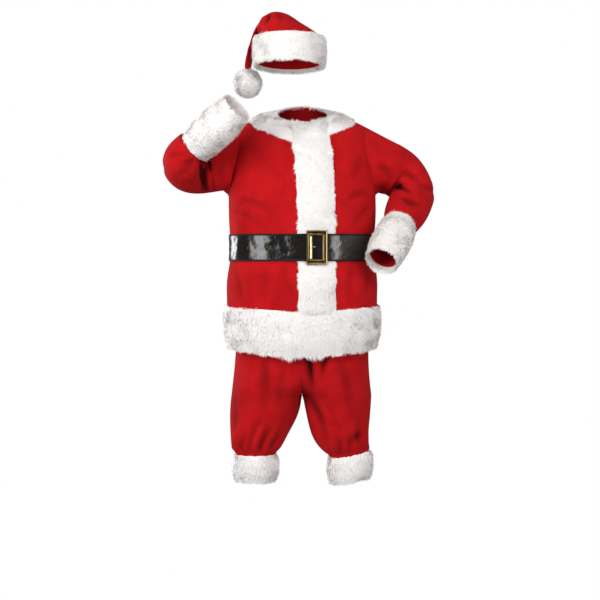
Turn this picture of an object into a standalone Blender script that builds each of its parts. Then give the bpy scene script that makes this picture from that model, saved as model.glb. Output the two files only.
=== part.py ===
"""A worn costume suit: belted fur-trimmed jacket, bloused trousers and floppy cap.

Units are metres, +Z is up and the front faces -Y. Heights in the tables are above
the ground that the wearer stands on. The origin is at the neck, where the
wearer's shoulders carry the jacket, NECK_HEIGHT above that ground.
Left and right are the wearer's own: the left side is +X.
"""
import math

import bmesh
import bpy
import numpy as np
from mathutils import Matrix, Vector

NECK_HEIGHT = 1.50
CLOTH = 0.002
SEAM = 0.0003
LAID = 0.0006
COLLAR_LAID = 0.0010
COLLAR_SEAM = 0.0012
LEG_CUFF_LAID = 0.0018
FUR = 0.015
FUR_EDGE = 0.004
HEM_FUR_DROP = 0.008

FRONT_TURN = math.radians(13.0)
SIDE_TURN = math.radians(90.0)
BAND_HALF_WIDTH = 0.056
RING_POWER = 2.4
MIDDLE_RADIUS = 0.20
NECK_DROP = 0.034
NECK_FOOT = 1.40
NECK_RISE = 0.166
HEM_LIFT = 0.022
HEM_LIFT_TOP = 1.05
HEM_LIFT_FALL = 0.20

ARMHOLE_HEIGHT = 1.4165
ARMHOLE_HALF_HEIGHT = 0.1165
ARMHOLE_FRONT = math.radians(20.0)
ARMHOLE_BACK = math.radians(22.0)
ARMHOLE_STEPS = 8
ROW_DROP = 0.045

BELT_HEIGHT = 1.127
BELT_WIDTH = 0.088
BELT_THICKNESS = 0.003
BAND_UNDER_BELT = 0.006
BAND_BY_BELT = 0.0095
BY_BELT_REACH = 0.015

BUCKLE_WIDTH = 0.067
BUCKLE_HEIGHT = 0.110
BUCKLE_LEFT = 0.009
BUCKLE_RIGHT = 0.017
BUCKLE_END = 0.018
BUCKLE_THICKNESS = 0.007
BUCKLE_BEVEL = 0.0025
BUCKLE_LIFT = 0.0022
BUCKLE_SPAN = math.radians(15.0)
BAR_RADIUS = 0.0045
BAR_GAP = 0.001
PRONG_LENGTH = 0.009
PRONG_ROOT = 0.0038
PRONG_TIP = 0.0022
PRONG_RAISE = 0.002
EYELET_RADIUS = 0.006
EYELET_HOLE = 0.003
EYELET_THICKNESS = 0.0012
EYELET_BEVEL = 0.0004
EYELET_SPAN = math.radians(2.0)

CUFF_LENGTH = 0.155
CUFF_FUR_PAST = 0.006
CUFF_RING = 0.07
ABOVE_CUFF = 0.012
LEG_CUFF_TOP = 0.437
LEG_CUFF_BOTTOM = 0.353
LEG_GATHERS = 12
GATHER_TOP = 0.60
GATHER_DEPTH = 0.006
GATHER_RISE = 0.02
CROTCH_HEIGHT = 0.633
CROTCH_TOP = 0.80
CROTCH_STEPS = 4
BLEND_DROP = 0.06
WAIST_ROW = 1.070
WAISTBAND_TOP = 1.083
WAISTBAND_THICKNESS = 0.003
LEG_TOP_GAP = 6 * SEAM
WAIST_INSET = 0.0038
HIP_INSET = 0.0155
HIP_EASE = 0.13

HAT_CENTRE = (-0.042, 0.0)
HAT_FLOP = math.radians(160.0)
HAT_PITCH = math.radians(-5.0)
HAT_ROLL = math.radians(0.5)
HAT_BAND_INSIDE = 0.1033
HAT_BAND_THICKNESS = 0.026
HAT_BAND_WIDTH = 0.092
HAT_BAND_HEIGHT = 1.777
POMPOM_REACH = 0.1485
POMPOM_RADIUS = 0.042

RED = (0.48, 0.008, 0.012)
WHITE = (0.90, 0.87, 0.85)
BLACK = (0.022, 0.019, 0.018)
BRASS = (0.30, 0.18, 0.055)

# Jacket rings: height, half width, depth in front, depth behind
TORSO_RINGS = np.array([
    (0.740, 0.240, 0.184, 0.162),
    (0.800, 0.244, 0.188, 0.166),
    (0.900, 0.250, 0.196, 0.171),
    (0.960, 0.251, 0.202, 0.173),
    (1.030, 0.249, 0.205, 0.172),
    (1.078, 0.2415, 0.1955, 0.165),
    (1.127, 0.2385, 0.1940, 0.163),
    (1.176, 0.2410, 0.1955, 0.165),
    (1.230, 0.2440, 0.193, 0.169),
    (1.300, 0.2450, 0.179, 0.170),
    (1.380, 0.2410, 0.158, 0.161),
    (1.450, 0.2320, 0.134, 0.142),
    (1.500, 0.2200, 0.113, 0.120),
    (1.533, 0.2030, 0.096, 0.100),
    (1.546, 0.1640, 0.083, 0.087),
    (1.557, 0.1250, 0.071, 0.076),
    (1.566, 0.0880, 0.060, 0.066),
    (1.575, 0.0760, 0.055, 0.060)])

# Jacket rows below the armholes, from the hem up; belt and waistband edges are rows too
LOWER_ROWS = (0.790, 0.850, 0.918, 0.9183, 0.970, 1.025, WAIST_ROW, WAISTBAND_TOP,
              BELT_HEIGHT, BELT_HEIGHT + BELT_WIDTH / 2, 1.225)

# Jacket rows above the armholes: height at the side, drop towards the front and back
UPPER_ROWS = ((1.5450, 0.050), (1.5515, 0.034), (1.5585, 0.017), (1.5660, 0.0))

# Leg rings below the crotch: height, middle x, middle y, half width, half depth, slope
RIGHT_LEG_RINGS = np.array([
    (0.340, -0.1550, 0.004, 0.062, 0.064, 0.0),
    (0.415, -0.1550, 0.004, 0.0635, 0.0655, 0.0),
    (0.4375, -0.1550, 0.004, 0.0640, 0.0660, 0.0),
    (0.455, -0.1540, 0.002, 0.077, 0.078, 0.0),
    (0.480, -0.1500, 0.000, 0.088, 0.088, 0.0),
    (0.520, -0.1400, 0.000, 0.100, 0.096, 0.0),
    (0.570, -0.1255, 0.000, 0.1165, 0.108, 0.0),
    (0.633, -0.1190, 0.002, 0.1190, 0.126, 0.0),
    (0.800, -0.1180, 0.004, 0.1180, 0.150, 0.0)])
LEFT_LEG_RINGS = np.array([
    (0.340, 0.1610, 0.004, 0.062, 0.064, 0.17),
    (0.415, 0.1595, 0.004, 0.0635, 0.0655, 0.17),
    (0.4375, 0.1590, 0.004, 0.0640, 0.0660, 0.17),
    (0.455, 0.1500, 0.002, 0.074, 0.078, 0.14),
    (0.480, 0.1350, 0.000, 0.086, 0.088, 0.08),
    (0.520, 0.1270, 0.000, 0.096, 0.096, 0.03),
    (0.570, 0.1210, 0.000, 0.106, 0.108, 0.0),
    (0.633, 0.1180, 0.002, 0.1180, 0.126, 0.0),
    (0.800, 0.1180, 0.004, 0.1180, 0.150, 0.0)])
LEG_ROWS = (0.385, 0.4375, 0.449, 0.463, 0.488, 0.525, 0.577)
LEG_UPPER_ROWS = (0.880, 0.970)
LEG_COLUMNS = LEG_GATHERS * 3

# Sleeve routes: shoulder, elbow corner and wrist, then the bend radius
LEFT_ARM = ((0.215, 0.0, 1.420), (0.402, 0.072, 1.350), (0.262, -0.215, 1.100), 0.083)
RIGHT_ARM = ((-0.215, 0.0, 1.420), (-0.468, -0.130, 1.338), (-0.226, -0.250, 1.552), 0.080)

# Sleeve radius against the share of the route from armhole to cuff top
SLEEVE_HEAD = 0.075
SLEEVE_SHARE = (0.0, 0.25, 0.50, 0.80, 0.93, 1.0)
SLEEVE_RADIUS = (0.092, 0.086, 0.074, 0.070, 0.062, 0.0505)

# Cap rings in the plane of its fold: outer s and height, inner s and height, half width
CAP_RINGS = (
    (-0.1030, 1.739, 0.1030, 1.739, 0.103),
    (-0.1030, 1.777, 0.1030, 1.777, 0.103),
    (-0.1020, 1.812, 0.1035, 1.808, 0.101),
    (-0.0900, 1.838, 0.1060, 1.824, 0.092),
    (-0.0520, 1.865, 0.1080, 1.834, 0.080),
    (-0.0120, 1.891, 0.1100, 1.842, 0.066),
    (0.0340, 1.911, 0.1130, 1.846, 0.052),
    (0.0700, 1.906, 0.1150, 1.846, 0.042),
    (0.0950, 1.878, 0.1170, 1.840, 0.035),
    (0.1160, 1.840, 0.1220, 1.830, 0.030),
    (0.1400, 1.794, 0.1320, 1.792, 0.026),
    (0.1560, 1.746, 0.1370, 1.746, 0.022),
    (0.1560, 1.722, 0.1410, 1.723, 0.010))
CAP_COLUMNS = 20

EYELET_ANGLES = (-48.0, -30.0, -10.0, 34.0)


def smooth_step(value):
    """Ease from 0 to 1 over the unit range."""
    t = np.clip(value, 0.0, 1.0)
    return t * t * (3.0 - 2.0 * t)


def even_slopes(heights, values):
    """Slopes at the rows of a table that keep the curve between two rows within them."""
    steps = np.diff(values) / np.diff(heights)
    slopes = np.zeros(len(values))
    same = steps[:-1] * steps[1:] > 0.0
    total = np.where(same, steps[:-1] + steps[1:], 1.0)
    slopes[1:-1] = np.where(same, 2.0 * steps[:-1] * steps[1:] / total, 0.0)
    slopes[[0, -1]] = steps[[0, -1]]
    return slopes


def smooth_column(value, table, column):
    """Read one column of a ring table at any height, on a smooth curve through the rows."""
    heights = table[:, 0]
    values = table[:, column]
    slopes = even_slopes(heights, values)
    value = np.clip(np.asarray(value, dtype=float), heights[0], heights[-1])
    row = np.clip(np.searchsorted(heights, value) - 1, 0, len(heights) - 2)
    step = heights[row + 1] - heights[row]
    t = (value - heights[row]) / step
    rise = values[row] * (1 + 2 * t) * (1 - t) ** 2 + values[row + 1] * t * t * (3 - 2 * t)
    lean = slopes[row] * t * (1 - t) ** 2 - slopes[row + 1] * t * t * (1 - t)
    return rise + lean * step


def torso_radius(angle, height):
    """Distance from the middle line to the jacket, at an angle from straight ahead."""
    across = smooth_column(height, TORSO_RINGS, 1)
    ahead = smooth_column(height, TORSO_RINGS, 2)
    behind = smooth_column(height, TORSO_RINGS, 3)
    deep = np.where(np.cos(angle) > 0.0, ahead, behind)
    side = np.abs(np.sin(angle)) / across
    along = np.abs(np.cos(angle)) / deep
    return (side ** RING_POWER + along ** RING_POWER) ** (-1.0 / RING_POWER)


def torso_surface(angle, height):
    """The jacket's outer face, with its neck lower in front and its hem raised at the sides."""
    radius = torso_radius(angle, height)
    neck = NECK_DROP * smooth_step((height - NECK_FOOT) / NECK_RISE) * np.cos(angle)
    hem = HEM_LIFT * smooth_step((HEM_LIFT_TOP - height) / HEM_LIFT_FALL) * np.sin(angle) ** 2
    return np.stack([radius * np.sin(angle), -radius * np.cos(angle),
                     height - neck + hem - NECK_HEIGHT], axis=-1)


def torso_point(angle, height, out=0.0):
    """A point of the jacket moved out along the surface's normal."""
    angle, height, out = np.broadcast_arrays(*map(np.asarray, (angle, height, out)))
    angle, height, out = (part.astype(float) for part in (angle, height, out))
    step = 1e-4
    across = torso_surface(angle + step, height) - torso_surface(angle - step, height)
    upward = torso_surface(angle, height + step) - torso_surface(angle, height - step)
    normal = np.cross(across, upward)
    normal /= np.linalg.norm(normal, axis=-1, keepdims=True)
    return torso_surface(angle, height) + normal * out[..., None]


def jacket_rows():
    """Every jacket row as its height at the side, its drop in front and its armhole share."""
    rows = [(height, 0.0, 0.0) for height in LOWER_ROWS]
    for step in range(ARMHOLE_STEPS + 1):
        turn = math.pi * step / ARMHOLE_STEPS
        height = ARMHOLE_HEIGHT - ARMHOLE_HALF_HEIGHT * math.cos(turn)
        drop = ROW_DROP * float(smooth_step(step / ARMHOLE_STEPS))
        rows.append((height, drop, math.sin(turn)))
    rows += [(height, drop, 0.0) for height, drop in UPPER_ROWS]
    return rows


ROWS = jacket_rows()
ARMHOLE_ROW = len(LOWER_ROWS)
SHOULDER_ROW = ARMHOLE_ROW + ARMHOLE_STEPS
COLLAR_ROW = SHOULDER_ROW + 1
HEM_BAND_ROW = 2
BELT_ROWS = (WAISTBAND_TOP, BELT_HEIGHT, BELT_HEIGHT + BELT_WIDTH / 2)


def row_height(row, angle):
    """A row's height at an angle: it drops towards the front and the back."""
    height, drop, _ = ROWS[row]
    return height - drop * np.cos(angle) ** 2


def panel_angles(panel, row, columns):
    """Column angles of one jacket panel along one row, clear of its seams."""
    _, _, share = ROWS[row]
    half_seam = 0.5 * SEAM / MIDDLE_RADIUS
    if panel == "back":
        start = SIDE_TURN + ARMHOLE_BACK * share + half_seam
        return np.linspace(start, 2 * math.pi - start, columns + 1)
    side = 1.0 if panel == "front_left" else -1.0
    limit = side * (SIDE_TURN - ARMHOLE_FRONT * share - half_seam)
    radius = float(torso_radius(FRONT_TURN, row_height(row, FRONT_TURN)))
    band = FRONT_TURN + side * BAND_HALF_WIDTH / radius
    start = FRONT_TURN + side * 0.5 * SEAM / radius
    return np.concatenate([[start], np.linspace(band, limit, columns)])


def panel_grid(panel, rows, out, columns=None):
    """Points over a jacket panel, row by row, moved out by a distance."""
    columns = columns or {"back": 13, "front_left": 6, "front_right": 7}[panel]
    grid = []
    for row in rows:
        angles = panel_angles(panel, row, columns)
        grid.append(torso_point(angles, row_height(row, angles), out))
    return np.array(grid)


def round_grid(rows, out, skip_band=False):
    """Points right round the jacket from its front seam, through the panels' own columns."""
    left = panel_grid("front_left", rows, out)
    back = panel_grid("back", rows, out)[:, 1:-1]
    right = panel_grid("front_right", rows, out)[:, ::-1]
    if skip_band:
        return np.concatenate([left[:, 1:], back, right[:, :-1]], axis=1)
    return np.concatenate([left, back, right[:, :-1], left[:, :1]], axis=1)


def new_material(name, colour, roughness, metallic=0.0):
    """A plain surface finish."""
    material = bpy.data.materials.new(name)
    material.use_nodes = True
    shader = material.node_tree.nodes["Principled BSDF"]
    shader.inputs["Base Color"].default_value = (*colour, 1.0)
    shader.inputs["Roughness"].default_value = roughness
    shader.inputs["Metallic"].default_value = metallic
    return material


class Suit:
    """Collects the named pieces in one collection."""

    def __init__(self):
        self.collection = bpy.data.collections.new("santa_suit")
        bpy.context.scene.collection.children.link(self.collection)
        self.plush = new_material("red_plush", RED, 0.85)
        self.fur = new_material("white_fur", WHITE, 0.95)
        self.vinyl = new_material("black_vinyl", BLACK, 0.30)
        self.brass = new_material("antique_brass", BRASS, 0.40, 1.0)

    def add(self, name, shape, material):
        """Turn a bmesh into a named piece."""
        bmesh.ops.recalc_face_normals(shape, faces=shape.faces)
        mesh = bpy.data.meshes.new(name)
        shape.to_mesh(mesh)
        shape.free()
        mesh.materials.append(material)
        mesh.shade_smooth()
        mesh.set_sharp_from_angle(angle=math.radians(50.0))
        piece = bpy.data.objects.new(name, mesh)
        self.collection.objects.link(piece)
        return piece

    def add_wall(self, name, outer, inner, material):
        """A closed wall between two grids of points; a grid whose ends meet is a tube."""
        rows, columns = outer.shape[:2]
        shape = bmesh.new()
        corners = [[[shape.verts.new(point) for point in line] for line in grid]
                   for grid in (outer, inner)]
        meets = np.linalg.norm(outer[:, 0] - outer[:, -1], axis=1) < 1e-6
        for side in corners:
            for row in range(rows - 1):
                for column in range(columns - 1):
                    shape.faces.new((side[row][column], side[row][column + 1],
                                     side[row + 1][column + 1], side[row + 1][column]))
        front, back = corners
        for row in (0, rows - 1):
            for column in range(columns - 1):
                shape.faces.new((front[row][column], front[row][column + 1],
                                 back[row][column + 1], back[row][column]))
        for row in range(rows - 1):
            if meets[row] and meets[row + 1]:
                continue
            for column in (0, columns - 1):
                shape.faces.new((front[row][column], front[row + 1][column],
                                 back[row + 1][column], back[row][column]))
        bmesh.ops.remove_doubles(shape, verts=shape.verts, dist=1e-6)
        return self.add(name, shape, material)


def grid_normals(grid, round_rows, mirror=False):
    """Outward normals of a grid by differences; closed rows wrap and open rows mirror in X."""
    before = grid[:, -2].copy()
    after = grid[:, 1].copy()
    for row in range(len(grid)):
        if not round_rows[row]:
            before[row] = grid[row, 1] * ((-1, 1, 1) if mirror else (1, 1, 1))
            after[row] = grid[row, -2] * ((-1, 1, 1) if mirror else (1, 1, 1))
    wide = np.concatenate([before[:, None], grid, after[:, None]], axis=1)
    across = wide[:, 2:] - wide[:, :-2]
    upward = np.gradient(grid, axis=0)
    normal = np.cross(across, upward)
    for row in range(len(grid)):
        if round_rows[row]:
            normal[row, 0] = normal[row, -1] = normal[row, 0] + normal[row, -1]
        elif mirror:
            normal[row, 0, 0] = normal[row, -1, 0] = 0.0
    return normal / np.linalg.norm(normal, axis=-1, keepdims=True)


def facing_out(grid, normal, row):
    """The normals turned outward, as judged round one row of the grid."""
    outward = grid[row] - grid[row].mean(axis=0)
    return normal if np.mean(np.sum(normal[row] * outward, axis=1)) > 0 else -normal


def fur_depth(share, full=FUR):
    """Thickness of a fur strip across its width, rounded down at both edges."""
    return FUR_EDGE + (full - FUR_EDGE) * (1.0 - np.abs(2.0 * share - 1.0) ** 3.0)


def build_jacket(suit):
    """The three body panels of the jacket."""
    rows = range(len(ROWS))
    for panel in ("back", "front_left", "front_right"):
        outer = panel_grid(panel, rows, 0.0)
        inner = panel_grid(panel, rows, -CLOTH)
        suit.add_wall("jacket_" + panel, outer, inner, suit.plush)


class Sleeve:
    """A tube from the armhole, round the elbow and on through the cuff."""

    def __init__(self, side, route):
        self.side = side
        shoulder, corner, wrist, self.bend = route
        lower = np.array((0.0, 0.0, NECK_HEIGHT))
        self.start = np.array(shoulder) - lower
        corner = np.array(corner) - lower
        self.end = np.array(wrist) - lower
        self.upper = (corner - self.start) / np.linalg.norm(corner - self.start)
        self.fore = (self.end - corner) / np.linalg.norm(self.end - corner)
        self.turn = math.acos(float(np.dot(self.upper, self.fore)))
        cut = self.bend * math.tan(self.turn / 2)
        self.straight = np.linalg.norm(corner - self.start) - cut
        self.arc = self.bend * self.turn
        self.last = np.linalg.norm(self.end - corner) - cut
        self.length = self.straight + self.arc + self.last
        self.axis = np.cross(self.upper, self.fore)
        self.axis /= np.linalg.norm(self.axis)
        self.inward = np.cross(self.axis, self.upper)
        up = np.array((0.0, 0.0, 1.0))
        self.up = up - np.dot(up, self.upper) * self.upper
        self.up /= np.linalg.norm(self.up)
        self.back = np.cross(self.up, self.upper) * side
        self.back *= math.copysign(1.0, self.back[1])

    def frame(self, distance):
        """Middle point, up and back directions at a distance along the route."""
        along = min(max((distance - self.straight) / self.bend, 0.0), self.turn)
        first = min(distance, self.straight)
        centre = self.start + self.upper * first
        centre = centre + self.bend * (math.sin(along) * self.upper + (1 - math.cos(along)) * self.inward)
        rest = max(distance - self.straight - self.arc, 0.0)
        centre = centre + self.fore * rest
        spin = Matrix.Rotation(along, 3, Vector(self.axis))
        return centre, np.array(spin @ Vector(self.up)), np.array(spin @ Vector(self.back))

    def radius(self, distance):
        """Radius of the sleeve at a distance along the route."""
        share = distance / (self.length - CUFF_LENGTH)
        return float(np.interp(share, SLEEVE_SHARE, SLEEVE_RADIUS))

    def ring(self, distance, out=0.0):
        """Points round the sleeve, from the top through the back, with the ends meeting."""
        centre, up, back = self.frame(distance)
        turns = np.linspace(0.0, 2 * math.pi, 2 * ARMHOLE_STEPS + 1)[:, None]
        radius = self.radius(distance) + out
        return centre + radius * (np.cos(turns) * up + np.sin(turns) * back)

    def armhole(self):
        """The armhole's edge: the panels' own edge points, drawn in by the seam."""
        points = []
        for step in range(2 * ARMHOLE_STEPS + 1):
            turn = math.pi * step / ARMHOLE_STEPS
            row = ARMHOLE_ROW + abs(ARMHOLE_STEPS - step)
            reach = ARMHOLE_BACK if math.sin(turn) > 0 else ARMHOLE_FRONT
            angle = self.side * (SIDE_TURN + reach * math.sin(turn))
            points.append(torso_point(angle, row_height(row, angle)))
        points = np.array(points)
        centre = points[:-1].mean(axis=0)
        inward = centre - points
        inward /= np.linalg.norm(inward, axis=1, keepdims=True)
        return points + inward * SEAM, inward

    def distances(self):
        """Where the sleeve's rings lie along its route."""
        top = self.length - CUFF_LENGTH
        bend = np.linspace(self.straight, self.straight + self.arc, 7)
        after = np.linspace(self.straight + self.arc, top - ABOVE_CUFF, 3)[1:]
        cuff = [top, top + CUFF_RING, self.length - CUFF_FUR_PAST]
        return np.concatenate([[SLEEVE_HEAD], bend, after, cuff])

    def build(self, suit, name, cuff_name):
        """The cloth tube and its fur cuff."""
        edge, inward = self.armhole()
        full = [self.ring(distance) for distance in self.distances()]
        head = [edge * (1 - share) + full[0] * share for share in (0.0, 0.33, 0.67)]
        outer = np.array(head + full)
        step = -facing_out(outer, grid_normals(outer, [True] * len(outer)), 5)
        toward = np.sum(step[0] * inward, axis=1, keepdims=True)
        step[0] -= np.minimum(toward, 0.0) * inward
        inner = outer + step * CLOTH
        suit.add_wall(name, outer, inner, suit.plush)
        shares = np.linspace(0.0, 1.0, 6)
        top = self.length - CUFF_LENGTH
        places = top + shares * (CUFF_LENGTH + CUFF_FUR_PAST)
        cuff_outer = np.array([self.ring(place, LAID + float(fur_depth(share)))
                               for place, share in zip(places, shares)])
        cuff_inner = np.array([self.ring(place, LAID) for place in places])
        suit.add_wall(cuff_name, cuff_outer, cuff_inner, suit.fur)


def between_rows(grid, steps):
    """A grid read at evenly spaced places between its first and last row."""
    picks = np.linspace(0, len(grid) - 1, steps)
    below = np.floor(np.minimum(picks, len(grid) - 2)).astype(int)
    part = (picks - below)[:, None, None]
    return grid[below] * (1 - part) + grid[below + 1] * part


def build_hem_band(suit):
    """Fur round the hem, a little longer than the cloth."""
    rows = range(HEM_BAND_ROW + 1)
    shares = np.linspace(0.0, 1.0, 5)
    inner = between_rows(round_grid(rows, LAID), len(shares))
    full = between_rows(round_grid(rows, LAID + FUR), len(shares))
    outer = inner + (full - inner) * (fur_depth(shares) / FUR)[:, None, None]
    inner[0, :, 2] -= HEM_FUR_DROP
    outer[0, :, 2] -= HEM_FUR_DROP
    suit.add_wall("fur_hem_band", outer, inner, suit.fur)


def build_front_band(suit):
    """Fur up the front opening, pressed down where the belt crosses it."""
    shares = np.linspace(0.0, 1.0, 7)
    outer, inner = [], []
    for row in range(HEM_BAND_ROW + 1, len(ROWS)):
        right = panel_angles("front_right", row, 7)
        left = panel_angles("front_left", row, 6)
        angles = np.array((right[1], FRONT_TURN, left[1]))
        heights = row_height(row, angles)
        away = abs(ROWS[row][0] - BELT_HEIGHT) - BELT_WIDTH / 2
        thick = fur_depth(shares)
        if away < SEAM:
            thick = np.full_like(shares, BAND_UNDER_BELT)
        elif away < BY_BELT_REACH:
            thick = fur_depth(shares, BAND_BY_BELT)
        low, full = (np.stack([np.interp(shares, (0.0, 0.5, 1.0), line) for line in points.T], axis=1)
                     for points in (torso_point(angles, heights, LAID),
                                    torso_point(angles, heights, LAID + FUR)))
        inner.append(low)
        outer.append(low + (full - low) * (thick / FUR)[:, None])
    suit.add_wall("fur_front_band", np.array(outer), np.array(inner), suit.fur)


def build_collar(suit):
    """Fur round the neck from one side of the front band to the other."""
    rows = range(COLLAR_ROW, len(ROWS))
    inner = round_grid(rows, COLLAR_LAID, skip_band=True)
    full = round_grid(rows, COLLAR_LAID + FUR, skip_band=True)
    for edge, beside in ((0, 1), (-1, -2)):
        step = inner[:, beside] - inner[:, edge]
        step *= COLLAR_SEAM / np.linalg.norm(step, axis=1, keepdims=True)
        inner[:, edge] += step
        full[:, edge] += step
    depth = fur_depth(np.linspace(0.0, 1.0, len(inner))) / FUR
    suit.add_wall("fur_collar", inner + (full - inner) * depth[:, None, None], inner, suit.fur)


def belt_grid(out):
    """Three rows right round the waist, raised where the belt crosses the front band."""
    rows = [row for row, values in enumerate(ROWS) if values[0] in BELT_ROWS and row < ARMHOLE_ROW]
    flat = round_grid(rows, LAID + out)
    raised = round_grid(rows, 2 * LAID + BAND_UNDER_BELT + out)
    over = np.zeros(flat.shape[1])
    over[[0, 1, -1, -2]] = 1.0
    return flat + (raised - flat) * over[None, :, None]


def belt_place(angle, out, span):
    """A frame standing on the strap's outer face: X along the strap, Y outward, Z up."""
    line = belt_grid(BELT_THICKNESS)[1]
    turns = np.unwrap(np.arctan2(line[:, 0], -line[:, 1]))
    if angle < turns[0]:
        angle += 2 * math.pi
    place, before, after = (Vector([float(np.interp(turn, turns, line[:, axis], period=2 * math.pi))
                                    for axis in range(3)])
                            for turn in (angle, angle - span, angle + span))
    along = after - before
    facing = math.atan2(along.y, along.x)
    turn = Matrix.Rotation(facing + math.pi, 4, "Z")
    outward = Vector((math.sin(facing), -math.cos(facing), 0.0))
    return Matrix.Translation(place + outward * out) @ turn


def build_buckle(suit):
    """The buckle's frame, the bar in its opening and the prong on the bar."""
    place = belt_place(FRONT_TURN, SEAM + BUCKLE_LIFT, BUCKLE_SPAN)
    flip = place @ Matrix.Diagonal((-1.0, 1.0, 1.0, 1.0))
    shape = bmesh.new()
    half_width, half_height = BUCKLE_WIDTH / 2, BUCKLE_HEIGHT / 2
    outline = [(-half_width, -half_height), (half_width, -half_height),
               (half_width, half_height), (-half_width, half_height)]
    opening = [(-half_width + BUCKLE_LEFT, -half_height + BUCKLE_END),
               (half_width - BUCKLE_RIGHT, -half_height + BUCKLE_END),
               (half_width - BUCKLE_RIGHT, half_height - BUCKLE_END),
               (-half_width + BUCKLE_LEFT, half_height - BUCKLE_END)]
    loops = [[shape.verts.new((x, 0.0, z)) for x, z in loop] for loop in (outline, opening)]
    for corner in range(4):
        after = (corner + 1) % 4
        shape.faces.new((loops[0][corner], loops[0][after], loops[1][after], loops[1][corner]))
    raised = bmesh.ops.extrude_face_region(shape, geom=list(shape.faces), use_keep_orig=True)
    top = [item for item in raised["geom"] if isinstance(item, bmesh.types.BMVert)]
    bmesh.ops.translate(shape, verts=top, vec=(0.0, BUCKLE_THICKNESS, 0.0))
    edges = [edge for edge in shape.edges if all(vert in top for vert in edge.verts)
             and len(edge.link_faces) == 2 and edge.calc_face_angle(0.0) > 1.0]
    bmesh.ops.bevel(shape, geom=edges, offset=BUCKLE_BEVEL, segments=2, profile=0.5,
                    affect="EDGES", material=-1)
    bmesh.ops.transform(shape, matrix=flip, verts=shape.verts)
    suit.add("belt_buckle", shape, suit.brass)

    bar_x = -half_width + BUCKLE_LEFT + BAR_GAP + BAR_RADIUS
    length = BUCKLE_HEIGHT - 2 * BUCKLE_END - 2 * SEAM
    shape = bmesh.new()
    bmesh.ops.create_cone(shape, cap_ends=True, segments=16, radius1=BAR_RADIUS,
                          radius2=BAR_RADIUS, depth=length,
                          matrix=Matrix.Translation((bar_x, BAR_RADIUS, 0.0)))
    bmesh.ops.transform(shape, matrix=flip, verts=shape.verts)
    suit.add("belt_bar", shape, suit.brass)

    start = bar_x + BAR_RADIUS + SEAM + PRONG_LENGTH / 2
    turn = Matrix.Rotation(math.pi / 2, 4, "Y")
    lay = Matrix.Translation((start, BAR_RADIUS, PRONG_RAISE)) @ turn
    shape = bmesh.new()
    bmesh.ops.create_cone(shape, cap_ends=True, segments=12, radius1=PRONG_ROOT,
                          radius2=PRONG_TIP, depth=PRONG_LENGTH, matrix=lay)
    bmesh.ops.transform(shape, matrix=flip, verts=shape.verts)
    suit.add("belt_prong", shape, suit.brass)


def build_belt(suit):
    """The strap with its buckle and eyelets."""
    suit.add_wall("belt_strap", belt_grid(BELT_THICKNESS), belt_grid(0.0), suit.vinyl)
    build_buckle(suit)
    for number, degrees in enumerate(EYELET_ANGLES, start=1):
        shape = bmesh.new()
        section = ((EYELET_HOLE, 0.0), (EYELET_RADIUS, 0.0),
                   (EYELET_RADIUS - EYELET_BEVEL, EYELET_THICKNESS),
                   (EYELET_HOLE + EYELET_BEVEL, EYELET_THICKNESS))
        corners = [shape.verts.new((radius, lift, 0.0)) for radius, lift in section]
        sides = [shape.edges.new((corners[k], corners[(k + 1) % 4])) for k in range(4)]
        bmesh.ops.spin(shape, geom=corners + sides, cent=(0, 0, 0), axis=(0, 1, 0),
                       angle=2 * math.pi, steps=14, use_merge=True)
        place = belt_place(math.radians(degrees), 2 * SEAM, EYELET_SPAN)
        bmesh.ops.transform(shape, matrix=place, verts=shape.verts)
        suit.add(f"belt_eyelet_{number}", shape, suit.brass)


def leg_point(side, table, share, height, seam_blend, wave):
    """A point of a trouser leg; share runs from the front middle round the outside to the back."""
    turn = 2 * math.pi * share
    blend_foot = CROTCH_HEIGHT - BLEND_DROP
    rise = float(smooth_step((height - blend_foot) / (CROTCH_TOP - blend_foot)))
    by_seam = math.cos(math.pi * share) ** 2
    blend = seam_blend * by_seam + rise * (1 - by_seam)
    middle_x, middle_y, across, deep, slope = (smooth_column(height, table, k) for k in range(1, 6))
    swell = wave * math.cos(LEG_GATHERS * turn)
    x = middle_x - side * (across + swell) * math.cos(turn)
    y = middle_y - (deep + swell) * math.sin(turn)
    z = height + slope * (x - middle_x)
    ring = np.array((x, y, z - NECK_HEIGHT))
    inset = WAIST_INSET + HIP_INSET * float(smooth_step((WAIST_ROW - height) / HIP_EASE))
    hip = torso_point(side * math.pi * share, height, -CLOTH - SEAM - inset)
    hip[2] = height - NECK_HEIGHT
    return ring * (1 - blend) + hip * blend


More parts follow.
